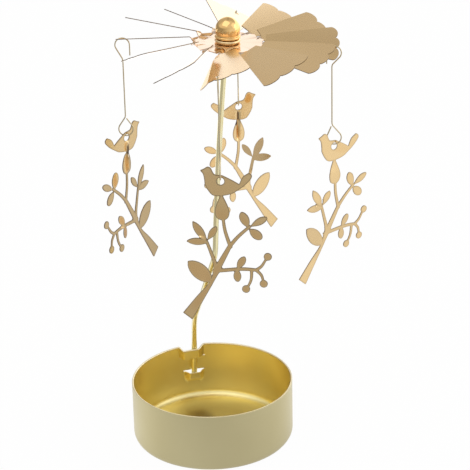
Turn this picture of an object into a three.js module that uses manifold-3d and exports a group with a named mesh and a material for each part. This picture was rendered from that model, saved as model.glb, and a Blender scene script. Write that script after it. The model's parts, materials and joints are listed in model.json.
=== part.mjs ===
// A candle carousel: a tealight cup whose wall clips a bent wire stem, a rotor of twelve blades that turns
// on the stem's point, and four charms, a bird over a budded twig, that hang from the rotor on wire hangers.
// Millimetres and degrees, +Z up. The origin is the centre of the cup's underside, and the front is towards
// -Y.

import * as THREE from 'three';
import { mergeVertices } from 'three/addons/utils/BufferGeometryUtils.js';
import Module from 'manifold-3d';

const rad = THREE.MathUtils.degToRad;
const { clamp, smoothstep } = THREE.MathUtils;

// Gaps and overruns
const seatGap = 0.3;              // between pieces that rest on, clamp or guide each other
const overrun = 1;                // how far a cutter runs past what it cuts
const weldDistance = 0.0001;      // vertices closer than this are one

// Cup
const cupRadius = 33;
const cupHeight = 25.4;
const cupWall = 0.4;
const cupCorner = 3.7;            // outer radius between floor and wall
const cupColumns = 46;
const cornerSteps = 3;

// Stem clip, pressed inwards out of the cup's wall. Places along the wall are measured from the stem, to the
// left.
const clipAngle = 104.6;          // where the stem stands round the cup
const band = { foot: 19.8, rimDrop: 1, flatFrom: -1.5, flatTo: 5.2, rampRight: 3.4, rampLeft: 1.2 };
const pocket = { foot: 8.3, full: 10.9, lip: 13.5, flatFrom: -2.1, flatTo: 2.1, rampRight: 2.3, rampLeft: 2.3 };
const shearGap = 0.3;             // opening of a sheared edge beside the wall it was cut from
const clipColumns = 16;
const pocketSteps = 2;

// Stem
const stemRadius = 1.1;
const footHalfWidth = 1.25;       // the foot is flattened, so that it can't turn in the clip
const footHalfThickness = 0.95;
const footEnd = 11.2;
const footFlatTop = 28;
const footBlend = 4;
const stemLean = 1.66;            // of the straight foot, round the cup towards the right
const lowBendHeight = 38.2;
const highBend = { offset: 2.7, height: 81 };
const stemBow = 0.75;             // how far the upper run bows from a straight line, to the left
const bendReach = 5;              // from a bend's corner to where its curve starts
const bendSteps = 5;
const bowSteps = 6;
const stemSides = 10;
const pointLength = 3.2;
const pointRadius = 0.15;

// Rotor
const rotor = { offset: 9.6, height: 170.2, tilt: 1.9, turn: -1 };
const sheet = 0.3;                // rotor and charms
const bladeCount = 12;
const discRadius = 13;
const tabLength = 1.4;            // pointed tabs that stay flat between the blades' necks
const neckHalfWidth = 1.5;
const neckOffset = 1.7;           // from the blade's middle to its neck, towards the side that is turned down
const neckLength = 1.5;
const neckOverlap = 1.2;          // length of neck inside the disc's edge
const shoulderLength = 0.2;
const bladeSlit = 1;              // angle lost between two blades
const bladeTwist = 27;
// How far each blade is really twisted by hand, from the one at the right and on round past the back
const bladeTwistShares = [0.72, 0.74, 0.74, 0.9, 1.05, 1.05, 0.85, 0.96, 1.3, 1.15, 0.85, 0.72];
const notchRadius = 41.4;
const lobeDepth = 1.5;
const lobesPerBlade = 3;
const lobeSteps = 4;
const lobeRoundness = 0.6;        // power of the sine that each lobe follows

// Hub, about the rotor's axis, with heights above the disc's mid-plane
const spigotRadius = 3.5;
const hubBore = 2.3;
const collarBead = { radius: 4.95, height: 1.2 };
const rivetLip = { radius: 4.4, height: 0.6 };
const spigotTop = 3.4;
const capBead = { radius: 4.85, height: 1.1 };
const capGroove = { radius: 4.35, height: 0.45 };
const capRadius = 4.7;
const domeCentre = 5.4;
const socketApex = 6.8;
const socketApexRadius = 0.25;
const socketMouth = 2.1;
const hubSides = 20;
const domeSteps = 5;

// Hangers
const wireRadius = 0.25;
const loopRadius = 2.8;
const upperLoopHeight = 8.6;
const lowerLoopHeight = 7.8;
const hangerLength = 40;          // from the top of the upper loop to the bottom of the lower one
const freeEndLength = 4.2;
const arcStep = 28;
const wireSides = 6;

// Blade holes, one on every third blade, at the notch on the blade's lower side
const hookHole = { radius: 0.88, fromAxis: 38.9 };
const hookEvery = 3;
const hookSides = 14;

// Charm: all its shares are of charmDrop, the length from the hole's centre down to the twig's cut end
const charmDrop = 57;
const charmHoleRadius = 1.45;
const charmHoleSides = 12;
const berryRadiusShare = 0.027;
const splineSegments = 2;         // for each point of a spline
const leafSegments = 2;
const berrySegments = 4;
// How each charm hangs, in degrees: where its tail points, how far the tail sags, and how far its twig is
// turned on
const charmPoses = {
  right: { yaw: 34, sag: 3.3, twigTurn: 3.5 },
  back: { yaw: 197.5, sag: 2.4, twigTurn: 14 },
  left: { yaw: 228, sag: 3.1, twigTurn: 10.5 },
  front: { yaw: -9.5, sag: 0, twigTurn: 1 },
};
const twigTurnShares = [-0.105, -0.245];   // heights on the bud between which the sheet turns

const sides = ['right', 'back', 'left', 'front'];

const finish = (color, roughness) => new THREE.MeshStandardMaterial({ color, roughness, metalness: 1 });
const finishes = {
  cup: finish(0xcdbf94, 0.45),
  stem: finish(0xd8b75c, 0.25),
  rotor: finish(0xd2b684, 0.3),
  hub: finish(0xd9a64e, 0.12),
  socket: finish(0xb08a3c, 0.4),
  hanger: finish(0xb9b2a0, 0.25),
  charm: finish(0xd6b07a, 0.25),
};

const wasm = await Module();
wasm.setup();

function weld(geometry) {
  const bare = geometry.index ? geometry.toNonIndexed() : geometry.clone();
  bare.deleteAttribute('normal');
  bare.deleteAttribute('uv');
  return mergeVertices(bare, weldDistance);
}

function toSolid(geometry) {
  const welded = weld(geometry);
  const vertProperties = new Float32Array(welded.attributes.position.array);
  const triVerts = new Uint32Array(welded.index.array);
  return new wasm.Manifold(new wasm.Mesh({ numProp: 3, vertProperties, triVerts }));
}

function toGeometry(solid) {
  const mesh = solid.getMesh();
  const geometry = new THREE.BufferGeometry();
  geometry.setAttribute('position', new THREE.BufferAttribute(mesh.vertProperties, 3));
  geometry.setIndex(new THREE.BufferAttribute(mesh.triVerts, 1));
  geometry.computeVertexNormals();
  return geometry;
}

// A growing list of faces, whose corners run anticlockwise seen from outside. Corners that meet drop a
// triangle.
class Skin {
  corners = [];

  triangle(a, b, c) {
    const sides = [a.distanceTo(b), b.distanceTo(c), c.distanceTo(a)];
    if (Math.min(...sides) > weldDistance) this.corners.push(a, b, c);
  }

  quad(a, b, c, d) {
    this.triangle(a, b, c);
    this.triangle(a, c, d);
  }

  geometry() {
    const raw = new THREE.BufferGeometry().setFromPoints(this.corners);
    const geometry = weld(raw);
    geometry.computeVertexNormals();
    return geometry;
  }
}

// Cup: a grid of columns round the axis and levels up the wall, laid once outside and once inside the sheet.
// Where the clip's bands are pressed in, the sheet is torn along their sheared edges.

const stemPlace = cupRadius - cupWall - seatGap - footHalfThickness;
const pressDepth = cupRadius - (stemPlace - footHalfThickness - seatGap);

function pressShare(shape, angle) {
  const place = rad(angle - clipAngle) * cupRadius;
  const right = (place - shape.flatFrom + shape.rampRight) / shape.rampRight;
  const left = (shape.flatTo + shape.rampLeft - place) / shape.rampLeft;
  return smoothstep(Math.min(right, left), 0, 1);
}

function cupAngles() {
  const first = Math.min(band.flatFrom - band.rampRight, pocket.flatFrom - pocket.rampRight);
  const last = Math.max(band.flatTo + band.rampLeft, pocket.flatTo + pocket.rampLeft);
  const toDegrees = (place) => clipAngle + THREE.MathUtils.radToDeg(place / cupRadius);
  const [start, end] = [toDegrees(first), toDegrees(last)];
  const angles = [];
  for (let i = 0; i < clipColumns; i++) angles.push(start + ((end - start) * i) / (clipColumns - 1));
  const rest = Math.ceil((cupColumns * (360 - (end - start))) / 360);
  for (let i = 1; i < rest; i++) angles.push(end + ((360 - (end - start)) * i) / rest);
  return angles;
}

function cupStrips() {
  const plain = () => 0;
  const floorAndCorner = [{ r: 0, turn: 0 }];
  for (let i = 0; i <= cornerSteps; i++) {
    floorAndCorner.push({ r: cupRadius - cupCorner, turn: (90 * i) / cornerSteps });
  }
  const cornerPoint = ({ r, turn }, depth) => {
    const reach = cupCorner - depth;
    return r === 0 ? [0, depth] : [r + reach * Math.sin(rad(turn)), cupCorner - reach * Math.cos(rad(turn))];
  };
  const wallPoint = ({ z }, depth) => [cupRadius - depth, z];
  const pocketLevels = [{ z: pocket.foot }];
  for (let i = 1; i <= pocketSteps; i++) {
    pocketLevels.push({ z: pocket.foot + ((pocket.full - pocket.foot) * i) / pocketSteps });
  }
  pocketLevels.push({ z: pocket.lip });
  return [
    { levels: floorAndCorner, point: cornerPoint, press: plain, rise: plain },
    { levels: [{ z: cupCorner }, { z: pocket.foot }], point: wallPoint, press: plain, rise: plain },
    {
      levels: pocketLevels,
      point: wallPoint,
      press: (angle, z) => pressShare(pocket, angle) * smoothstep(z, pocket.foot, pocket.full),
      rise: (share, z) => (z === pocket.lip && share > 0 ? -shearGap : 0),
    },
    { levels: [{ z: pocket.lip }, { z: band.foot }], point: wallPoint, press: plain, rise: plain },
    {
      levels: [{ z: band.foot }, { z: cupHeight }],
      point: wallPoint,
      press: (angle) => pressShare(band, angle),
      rise: (share, z) => {
        if (z === band.foot) return share > 0 ? shearGap : 0;
        return z === cupHeight ? -band.rimDrop * share : 0;
      },
    },
  ];
}

function cupGeometry() {
  const angles = cupAngles();
  const skin = new Skin();
  const at = (strip, level, angle, depth) => {
    const [r, z] = strip.point(level, depth);
    const share = strip.press(angle, z);
    const radial = new THREE.Vector3(Math.cos(rad(angle)), Math.sin(rad(angle)), 0);
    return radial.multiplyScalar(r - pressDepth * share).setZ(z + strip.rise(share, z));
  };
  const strips = cupStrips();
  angles.forEach((from, column) => {
    const to = angles[(column + 1) % angles.length];
    const edge = (strip, level) => [
      at(strip, level, from, 0),
      at(strip, level, to, 0),
      at(strip, level, to, cupWall),
      at(strip, level, from, cupWall),
    ];
    strips.forEach((strip, index) => {
      for (let i = 1; i < strip.levels.length; i++) {
        const [a, b, c, d] = edge(strip, strip.levels[i - 1]);
        const [e, f, g, h] = edge(strip, strip.levels[i]);
        skin.quad(a, b, f, e);
        skin.quad(c, d, h, g);
      }
      const top = edge(strip, strip.levels.at(-1));
      const above = strips[index + 1];
      if (!above) {
        skin.quad(...top);
        return;
      }
      const next = edge(above, above.levels[0]);
      if (top.some((corner, i) => corner.distanceTo(next[i]) > weldDistance)) {
        skin.quad(...top);
        skin.quad(...next.reverse());
      }
    });
  });
  return skin.geometry();
}

// A rod of changing section: one ring of corners round each point of its centreline. The first normal is
// carried along the line, and halfAxes gives a ring's half size along the normal and across it.
function rodGeometry(points, firstNormal, halfAxes, sides) {
  const skin = new Skin();
  const normal = firstNormal.clone();
  const rings = points.map((centre, i) => {
    const before = points[Math.max(i - 1, 0)];
    const after = points[Math.min(i + 1, points.length - 1)];
    const along = after.clone().sub(before).normalize();
    normal.addScaledVector(along, -normal.dot(along)).normalize();
    const across = along.clone().cross(normal);
    const [halfThickness, halfWidth] = halfAxes(centre, i);
    return Array.from({ length: sides }, (_, side) => {
      const angle = (2 * Math.PI * side) / sides;
      const corner = centre.clone().addScaledVector(normal, halfThickness * Math.cos(angle));
      return corner.addScaledVector(across, halfWidth * Math.sin(angle));
    });
  });
  for (let side = 0; side < sides; side++) {
    const next = (side + 1) % sides;
    for (let i = 1; i < rings.length; i++) {
      skin.quad(rings[i - 1][side], rings[i - 1][next], rings[i][next], rings[i][side]);
    }
    skin.triangle(points[0], rings[0][next], rings[0][side]);
    skin.triangle(points.at(-1), rings.at(-1)[side], rings.at(-1)[next]);
  }
  return skin.geometry();
}

// Stem: up from the pocket along the cup's wall, over to the middle, and up to the point in the hub

function stemPath() {
  const radial = new THREE.Vector3(Math.cos(rad(clipAngle)), Math.sin(rad(clipAngle)), 0);
  const rightwards = new THREE.Vector3(radial.y, -radial.x, 0);
  const clipMiddle = (pocket.lip + band.foot) / 2;
  const footAt = (z) => {
    const place = radial.clone().multiplyScalar(stemPlace);
    return place.addScaledVector(rightwards, Math.tan(rad(stemLean)) * (z - clipMiddle)).setZ(z);
  };
  const tip = new THREE.Vector3(0, 0, socketApex - seatGap).applyMatrix4(rotorFrame.matrix);
  const low = footAt(lowBendHeight);
  const high = new THREE.Vector3(highBend.offset, 0, highBend.height);
  const towards = (from, to, reach) => from.clone().addScaledVector(to.clone().sub(from).normalize(), reach);
  const bow = high.clone().lerp(tip, 1 / 2).add(new THREE.Vector3(-2 * stemBow, 0, 0));
  const pointBase = towards(tip, bow, pointLength);
  const lowBend = [towards(low, footAt(footEnd), bendReach), low, towards(low, high, bendReach)];
  const upBend = [towards(high, low, bendReach), high, towards(high, bow, bendReach)];
  const points = [footAt(footEnd), footAt(footFlatTop - footBlend), footAt(footFlatTop)];
  points.push(...new THREE.QuadraticBezierCurve3(...lowBend).getPoints(bendSteps));
  points.push(...new THREE.QuadraticBezierCurve3(...upBend).getPoints(bendSteps));
  const upper = new THREE.QuadraticBezierCurve3(upBend[2], bow, pointBase);
  points.push(...upper.getPoints(bowSteps).slice(1), tip);
  return { points, radial };
}

function stemGeometry() {
  const { points, radial } = stemPath();
  const halfAxes = (centre, i) => {
    if (i === points.length - 1) return [pointRadius, pointRadius];
    const flat = 1 - smoothstep(centre.z, footFlatTop - footBlend, footFlatTop);
    const { lerp } = THREE.MathUtils;
    return [lerp(stemRadius, footHalfThickness, flat), lerp(stemRadius, footHalfWidth, flat)];
  };
  return rodGeometry(points, radial, halfAxes, stemSides);
}

// Rotor, about its own axis, with the disc's mid-plane at zero

const bladePitch = 360 / bladeCount;
const bladeHalfAngle = (bladePitch - bladeSlit) / 2;
const lobeAngle = (2 * bladeHalfAngle) / lobesPerBlade;
const hookAngle = -lobeAngle / 2;

function bladeTransform(blade, twistShare) {
  const twist = rad(bladeTwist * bladeTwistShares[blade % bladeTwistShares.length]) * twistShare;
  const matrix = new THREE.Matrix4().makeRotationZ(rad(rotor.turn + bladePitch * blade));
  matrix.multiply(new THREE.Matrix4().makeTranslation(0, -neckOffset, 0));
  matrix.multiply(new THREE.Matrix4().makeRotationX(twist));
  return matrix.multiply(new THREE.Matrix4().makeTranslation(0, neckOffset, 0));
}

function discSolid() {
  const shape = new THREE.Shape();
  const angleOf = (across) => THREE.MathUtils.radToDeg(Math.asin(across / discRadius));
  const corner = (angle, radius) => [radius * Math.cos(rad(angle)), radius * Math.sin(rad(angle))];
  for (let blade = 0; blade < bladeCount; blade++) {
    const middle = rotor.turn + bladePitch * blade;
    const neckFrom = corner(middle + angleOf(-neckOffset - neckHalfWidth), discRadius);
    if (blade === 0) shape.moveTo(...neckFrom);
    else shape.lineTo(...neckFrom);
    shape.lineTo(...corner(middle + angleOf(neckHalfWidth - neckOffset), discRadius));
    shape.lineTo(...corner(middle + bladePitch / 2, discRadius + tabLength));
  }
  shape.closePath();
  const hole = new THREE.Path();
  hole.absarc(0, 0, spigotRadius + seatGap, 0, 2 * Math.PI, true);
  shape.holes.push(hole);
  const options = { depth: sheet, bevelEnabled: false, curveSegments: hubSides };
  const geometry = new THREE.ExtrudeGeometry(shape, options);
  return toSolid(geometry.translate(0, 0, -sheet / 2));
}

function bladeSolid(blade) {
  const neckEnd = discRadius + neckLength;
  const shoulder = neckEnd + shoulderLength;
  const steps = lobesPerBlade * lobeSteps;
  const lobeSine = (i) => Math.sin((Math.PI * (i % lobeSteps)) / lobeSteps);
  const edgeRadius = (i) => notchRadius + lobeDepth * lobeSine(i) ** lobeRoundness;
  const angleAt = (i) => rad(bladeHalfAngle * ((2 * i) / steps - 1));
  const neck = (i) => neckHalfWidth * ((2 * i) / steps - 1) - neckOffset;
  const rows = [
    { twist: 0, place: (i) => [discRadius - neckOverlap, neck(i)] },
    { twist: 0, place: (i) => [discRadius, neck(i)] },
    { twist: 1, place: (i) => [neckEnd, neck(i)] },
    { twist: 1, place: (i) => [shoulder, shoulder * Math.tan(angleAt(i))] },
    { twist: 1, place: (i) => [edgeRadius(i) * Math.cos(angleAt(i)), edgeRadius(i) * Math.sin(angleAt(i))] },
  ];
  const point = (row, i, height) => {
    const [along, across] = row.place(i);
    return new THREE.Vector3(along, across, height).applyMatrix4(bladeTransform(blade, row.twist));
  };
  const skin = new Skin();
  const rim = (row, i) => [point(row, i, sheet / 2), point(row, i, -sheet / 2)];
  for (let r = 1; r < rows.length; r++) {
    for (let i = 0; i < steps; i++) {
      const [a, e] = rim(rows[r - 1], i);
      const [b, f] = rim(rows[r], i);
      const [c, g] = rim(rows[r], i + 1);
      const [d, h] = rim(rows[r - 1], i + 1);
      skin.quad(a, b, c, d);
      skin.quad(h, g, f, e);
      if (i === 0) skin.quad(a, e, f, b);
      if (i === steps - 1) skin.quad(c, g, h, d);
      if (r === 1) skin.quad(a, d, h, e);
      if (r === rows.length - 1) skin.quad(b, f, g, c);
    }
  }
  return toSolid(skin.geometry());
}

// The centre of a hook's hole on its blade, moved outwards by a reach, in the rotor's frame
function hookPoint(blade, reach) {
  const along = hookHole.fromAxis * Math.cos(rad(hookAngle)) + reach;
  const across = hookHole.fromAxis * Math.sin(rad(hookAngle));
  return new THREE.Vector3(along, across, 0).applyMatrix4(bladeTransform(blade, 1));
}

function rotorGeometry() {
  let solid = discSolid();
  for (let blade = 0; blade < bladeCount; blade++) {
    let bladeBody = bladeSolid(blade);
    if (blade % hookEvery === 0) {
      const depth = sheet + 2 * overrun;
      const drill = new THREE.CylinderGeometry(hookHole.radius, hookHole.radius, depth, hookSides);
      const along = hookHole.fromAxis * Math.cos(rad(hookAngle));
      const across = hookHole.fromAxis * Math.sin(rad(hookAngle));
      drill.rotateX(Math.PI / 2).translate(along, across, 0).applyMatrix4(bladeTransform(blade, 1));
      bladeBody = bladeBody.subtract(toSolid(drill));
    }
    solid = solid.add(bladeBody);
  }
  return toGeometry(solid);
}

// Hub pieces: profiles of radius and height, turned about the rotor's axis

function turned(profile) {
  const points = profile.map(([radius, height]) => new THREE.Vector2(radius, height));
  const geometry = new THREE.LatheGeometry(points, hubSides).rotateX(Math.PI / 2);
  return toGeometry(toSolid(geometry));
}

const beadFoot = sheet / 2 + seatGap;
const beadTop = beadFoot + collarBead.height;
const capFoot = beadTop + seatGap;

// Half-round edge of a bead between two heights
function beadArc(radius, foot, top) {
  const reach = (top - foot) / 2;
  return [0, 1, 2, 3, 4].map((step) => {
    const angle = (Math.PI * (step / 4 - 1 / 2));
    return [radius - reach + reach * Math.cos(angle), (foot + top) / 2 + reach * Math.sin(angle)];
  });
}

// The hub's dome at a radius, from its foot up to the axis
function domeArc(radius) {
  const points = [];
  for (let step = 0; step < domeSteps; step++) {
    const angle = ((Math.PI / 2) * step) / domeSteps;
    points.push([radius * Math.cos(angle), domeCentre + radius * Math.sin(angle)]);
  }
  return [...points, [0, domeCentre + radius]];
}

function collarGeometry() {
  const lipTop = -beadFoot;
  const lipFoot = lipTop - rivetLip.height;
  return turned([
    [hubBore, lipFoot],
    [rivetLip.radius, lipFoot],
    [rivetLip.radius, lipTop],
    [spigotRadius, lipTop],
    [spigotRadius, beadFoot],
    ...beadArc(collarBead.radius, beadFoot, beadTop),
    [spigotRadius, beadTop],
    [spigotRadius, spigotTop],
    [hubBore, spigotTop],
    [hubBore, lipFoot],
  ]);
}

function capGeometry() {
  const beadEnd = capFoot + capBead.height;
  const bore = spigotRadius + seatGap;
  return turned([
    [bore, capFoot],
    ...beadArc(capBead.radius, capFoot, beadEnd),
    [capGroove.radius, beadEnd + capGroove.height / 2],
    [capRadius, beadEnd + capGroove.height * 2],
    ...domeArc(capRadius),
    ...domeArc(bore).reverse(),
    [bore, capFoot],
  ]);
}

function socketGeometry() {
  const foot = spigotTop + seatGap;
  return turned([
    [0, socketApex],
    [socketApexRadius, socketApex],
    [socketMouth, foot],
    [spigotRadius, foot],
    ...domeArc(spigotRadius),
  ]);
}

// Hanger: a wire in the XZ plane, +X outwards, with its origin at the centre of the upper loop's arc.
// The upper loop's arc turns about that centre as the wire slides through the blade's hole.

const pivotDrop = loopRadius - wireRadius - seatGap - sheet / 2;
const holeToPivot = Math.sqrt(loopRadius ** 2 - pivotDrop ** 2);

// One loop, from its free end on the inner side, over its arc, to the pinch that lies its height below its
// top. An open loop's free end hangs straight down. A closed one's runs back to the pinch and stops just
// short of the wire.
function loopPoints(height, closed) {
  const lean = THREE.MathUtils.radToDeg(Math.asin(loopRadius / (height - loopRadius)));
  const end = 90 + lean;
  const start = closed ? -end : -90;
  const steps = Math.ceil((end - start) / arcStep);
  const arc = Array.from({ length: steps + 1 }, (_, i) => {
    const angle = rad(start + ((end - start) * i) / steps);
    return [loopRadius * Math.sin(angle), loopRadius * Math.cos(angle)];
  });
  const pinch = [0, loopRadius - height];
  if (!closed) return [[-loopRadius, -freeEndLength], ...arc, pinch];
  const [x, z] = arc[0];
  const left = (2 * wireRadius + seatGap) / -x;
  return [[x * left, THREE.MathUtils.lerp(pinch[1], z, left)], ...arc, pinch];
}

function hangerGeometry() {
  const lower = loopPoints(lowerLoopHeight, true).map(([x, z]) => [x, 2 * loopRadius - hangerLength - z]);
  const line = [...loopPoints(upperLoopHeight, false), ...lower.reverse()];
  const points = line.map(([x, z]) => new THREE.Vector3(x, 0, z));
  return rodGeometry(points, new THREE.Vector3(0, 1, 0), () => [wireRadius, wireRadius], wireSides);
}

// Charm: flat outlines in shares of charmDrop, x towards the bird's tail and y up, from the hole's centre

const onCharm = ([x, y]) => new THREE.Vector2(x * charmDrop, y * charmDrop);

function outline(runShares) {
  const shape = new THREE.Shape();
  runShares.forEach((run, i) => {
    const points = run.map(onCharm);
    if (i === 0) shape.moveTo(points[0].x, points[0].y);
    if (points.length === 2) shape.lineTo(points[1].x, points[1].y);
    else shape.splineThru(points.slice(1));
  });
  return shape;
}

const birdRunShares = [
  [
    [-0.134, 0.073], [-0.108, 0.085], [-0.084, 0.099], [-0.062, 0.09],
    [-0.048, 0.06], [-0.034, 0.045], [0.013, 0.041],
  ],
  [[0.013, 0.041], [0.078, 0.008], [0.127, -0.019]],
  [[0.127, -0.019], [0.156, 0.019], [0.187, 0.062]],
  [[0.187, 0.062], [0.206, 0.046], [0.201, 0.02], [0.16, -0.025], [0.118, -0.058]],
  [[0.118, -0.058], [0.076, -0.085], [0.001, -0.103], [-0.052, -0.099], [-0.084, -0.064], [-0.104, -0.025]],
  [[-0.104, -0.025], [-0.107, 0.014], [-0.114, 0.049], [-0.134, 0.073]],
];

const budRunShares = [
  [[0.003, -0.08], [0.041, -0.162], [0.055, -0.215], [0.043, -0.256], [0.014, -0.276]],
  [[0.014, -0.276], [-0.026, -0.262], [-0.041, -0.227], [-0.034, -0.173], [0.003, -0.08]],
];

// Each twig is a line of points with its width at the start and at the end
const twigShares = [
  { line: [[0.012, -0.268], [0.021, -0.342], [0.04, -0.413], [0.056, -0.46]], widthShares: [0.02, 0.026] },
  { line: [[0.187, -0.311], [0.111, -0.383], [0.053, -0.453]], widthShares: [0.02, 0.026] },
  { line: [[0.053, -0.453], [0.016, -0.523], [-0.023, -0.597], [-0.045, -0.64]], widthShares: [0.028, 0.048] },
  { line: [[-0.102, -0.42], [-0.071, -0.517], [-0.05, -0.584], [-0.045, -0.64]], widthShares: [0.02, 0.03] },
  { line: [[-0.02, -0.635], [0.098, -0.621], [0.165, -0.619], [0.228, -0.624]], widthShares: [0.026, 0.022] },
  { line: [[0.22, -0.624], [0.257, -0.595], [0.287, -0.545]], widthShares: [0.022, 0.016] },
  { line: [[0.192, -0.62], [0.187, -0.694], [0.163, -0.75]], widthShares: [0.022, 0.016] },
  { line: [[0.222, -0.624], [0.255, -0.659], [0.268, -0.705]], widthShares: [0.022, 0.016] },
];

// Each leaf is its stalk end, its tip, its width and how far along it is widest
const leafShares = [
  { from: [0.175, -0.322], to: [0.131, -0.211], widthShare: 0.062, widestShare: 0.6 },
  { from: [0.176, -0.32], to: [0.306, -0.242], widthShare: 0.05, widestShare: 0.6 },
  { from: [0.17, -0.325], to: [0.262, -0.398], widthShare: 0.064, widestShare: 0.62 },
  { from: [-0.096, -0.438], to: [-0.193, -0.282], widthShare: 0.056, widestShare: 0.55 },
  { from: [-0.097, -0.436], to: [-0.03, -0.316], widthShare: 0.046, widestShare: 0.6 },
  { from: [-0.09, -0.435], to: [-0.239, -0.428], widthShare: 0.055, widestShare: 0.5 },
  { from: [0.094, -0.622], to: [0.15, -0.528], widthShare: 0.051, widestShare: 0.6 },
  { from: [0.094, -0.615], to: [0.098, -0.713], widthShare: 0.052, widestShare: 0.6 },
  { from: [-0.078, -0.716], to: [-0.233, -0.57], widthShare: 0.106, widestShare: 0.5 },
];

const berryShares = [[0.3, -0.525], [0.152, -0.763], [0.27, -0.721]];

// The thick stem of the twig, down to its slanted cut end
const trunkRunShares = [
  [[-0.055, -0.585], [-0.064, -0.644], [-0.096, -0.728], [-0.177, -0.824], [-0.275, -0.95]],
  [[-0.275, -0.95], [-0.212, -1]],
  [[-0.212, -1], [-0.153, -0.888], [-0.086, -0.765], [-0.036, -0.671], [0, -0.615]],
  [[0, -0.615], [-0.055, -0.585]],
];

function leafOutline({ from, to, widthShare, widestShare }) {
  const root = onCharm(from);
  const tip = onCharm(to);
  const along = tip.clone().sub(root);
  const side = new THREE.Vector2(-along.y, along.x).normalize().multiplyScalar((widthShare * charmDrop) / 2);
  const belly = root.clone().addScaledVector(along, widestShare);
  const reach = along.clone().multiplyScalar((1 - widestShare) / 2);
  const shape = new THREE.Shape();
  shape.moveTo(root.x, root.y);
  for (const way of [1, -1]) {
    const edge = belly.clone().addScaledVector(side, way);
    const before = edge.clone().addScaledVector(along, -widestShare / 2);
    const after = edge.clone().add(reach);
    if (way === 1) {
      shape.quadraticCurveTo(before.x, before.y, edge.x, edge.y);
      shape.quadraticCurveTo(after.x, after.y, tip.x, tip.y);
    } else {
      shape.quadraticCurveTo(after.x, after.y, edge.x, edge.y);
      shape.quadraticCurveTo(before.x, before.y, root.x, root.y);
    }
  }
  return shape;
}

function twigOutline({ line, widthShares }) {
  const curve = new THREE.SplineCurve(line.map(onCharm));
  const steps = line.length;
  const edge = (way) => Array.from({ length: steps + 1 }, (_, step) => {
    const share = step / steps;
    const tangent = curve.getTangent(share);
    const halfWidth = (THREE.MathUtils.lerp(...widthShares, share) * charmDrop) / 2;
    return curve.getPoint(share).add(new THREE.Vector2(-tangent.y, tangent.x).multiplyScalar(halfWidth * way));
  });
  return new THREE.Shape([...edge(-1), ...edge(1).reverse()]);
}

function berryOutline([x, y]) {
  const centre = onCharm([x, y]);
  const shape = new THREE.Shape();
  shape.absarc(centre.x, centre.y, berryRadiusShare * charmDrop, 0, 2 * Math.PI);
  return shape;
}

function charmGeometry({ sag, twigTurn }) {
  const flat = (shape, curveSegments) => {
    return toSolid(new THREE.ExtrudeGeometry(shape, { depth: sheet, bevelEnabled: false, curveSegments }));
  };
  const pieces = [
    ...[birdRunShares, budRunShares, trunkRunShares].map((runs) => flat(outline(runs), splineSegments)),
    ...twigShares.map((twig) => flat(twigOutline(twig), splineSegments)),
    ...leafShares.map((leaf) => flat(leafOutline(leaf), leafSegments)),
    ...berryShares.map((berry) => flat(berryOutline(berry), berrySegments)),
  ];
  const blank = pieces.reduce((whole, piece) => whole.add(piece));
  const depth = sheet + 2 * overrun;
  const drill = new THREE.CylinderGeometry(charmHoleRadius, charmHoleRadius, depth, charmHoleSides);
  const geometry = toGeometry(blank.subtract(toSolid(drill.rotateX(Math.PI / 2))));
  geometry.translate(0, 0, -sheet / 2).rotateX(Math.PI / 2);
  const [turnFrom, turnTo] = twigTurnShares.map((share) => share * charmDrop);
  const places = geometry.attributes.position;
  for (let i = 0; i < places.count; i++) {
    const corner = new THREE.Vector3().fromBufferAttribute(places, i);
    const turnedShare = 1 - smoothstep(corner.z, turnTo, turnFrom);
    corner.applyAxisAngle(new THREE.Vector3(0, 0, 1), rad(twigTurn * turnedShare));
    places.setXYZ(i, corner.x, corner.y, corner.z);
  }
  geometry.rotateY(rad(sag)).computeVertexNormals();
  return geometry;
}

// Assembly

function place(parent, name, geometry, material) {
  const mesh = new THREE.Mesh(geometry, material);
  mesh.name = name;
  parent.add(mesh);
  return mesh;
}

const carousel = new THREE.Group();

const rotorFrame = new THREE.Group();
rotorFrame.position.set(rotor.offset, 0, rotor.height);
rotorFrame.rotation.y = rad(rotor.tilt);
rotorFrame.updateMatrix();
carousel.add(rotorFrame);

place(carousel, 'cup', cupGeometry(), finishes.cup);
place(carousel, 'stem', stemGeometry(), finishes.stem);
place(rotorFrame, 'rotor', rotorGeometry(), finishes.rotor);
place(rotorFrame, 'hub_collar', collarGeometry(), finishes.hub);
place(rotorFrame, 'hub_cap', capGeometry(), finishes.hub);
place(rotorFrame, 'pivot_socket', socketGeometry(), finishes.socket);

sides.forEach((side, index) => {
  const hole = hookPoint(index * hookEvery, 0).applyMatrix4(rotorFrame.matrix);
  const bridge = hookPoint(index * hookEvery, holeToPivot).applyMatrix4(rotorFrame.matrix);
  const outwards = Math.atan2(bridge.y - hole.y, bridge.x - hole.x);
  const hanger = place(carousel, `hanger_${side}`, hangerGeometry(), finishes.hanger);
  hanger.position.set(bridge.x, bridge.y, bridge.z - pivotDrop);
  hanger.rotation.z = outwards;
  const charm = place(carousel, `charm_${side}`, charmGeometry(charmPoses[side]), finishes.charm);
  const wireBottom = hanger.position.z + loopRadius - hangerLength;
  charm.position.set(bridge.x, bridge.y, wireBottom - (charmHoleRadius - wireRadius - seatGap));
  charm.rotation.z = rad(charmPoses[side].yaw);
});

export default carousel;
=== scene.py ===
"""Looks for a candle carousel in thin brass: cup, stem, twisted rotor, hub, wire hangers and bird charms.

Lengths are in millimetres until a mesh is made.
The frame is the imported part's own: +Z up, front towards -Y.
"""

import json
import math

import bpy
import numpy as np
from bpy.props import FloatProperty, FloatVectorProperty, PointerProperty
from mathutils import Matrix


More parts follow.
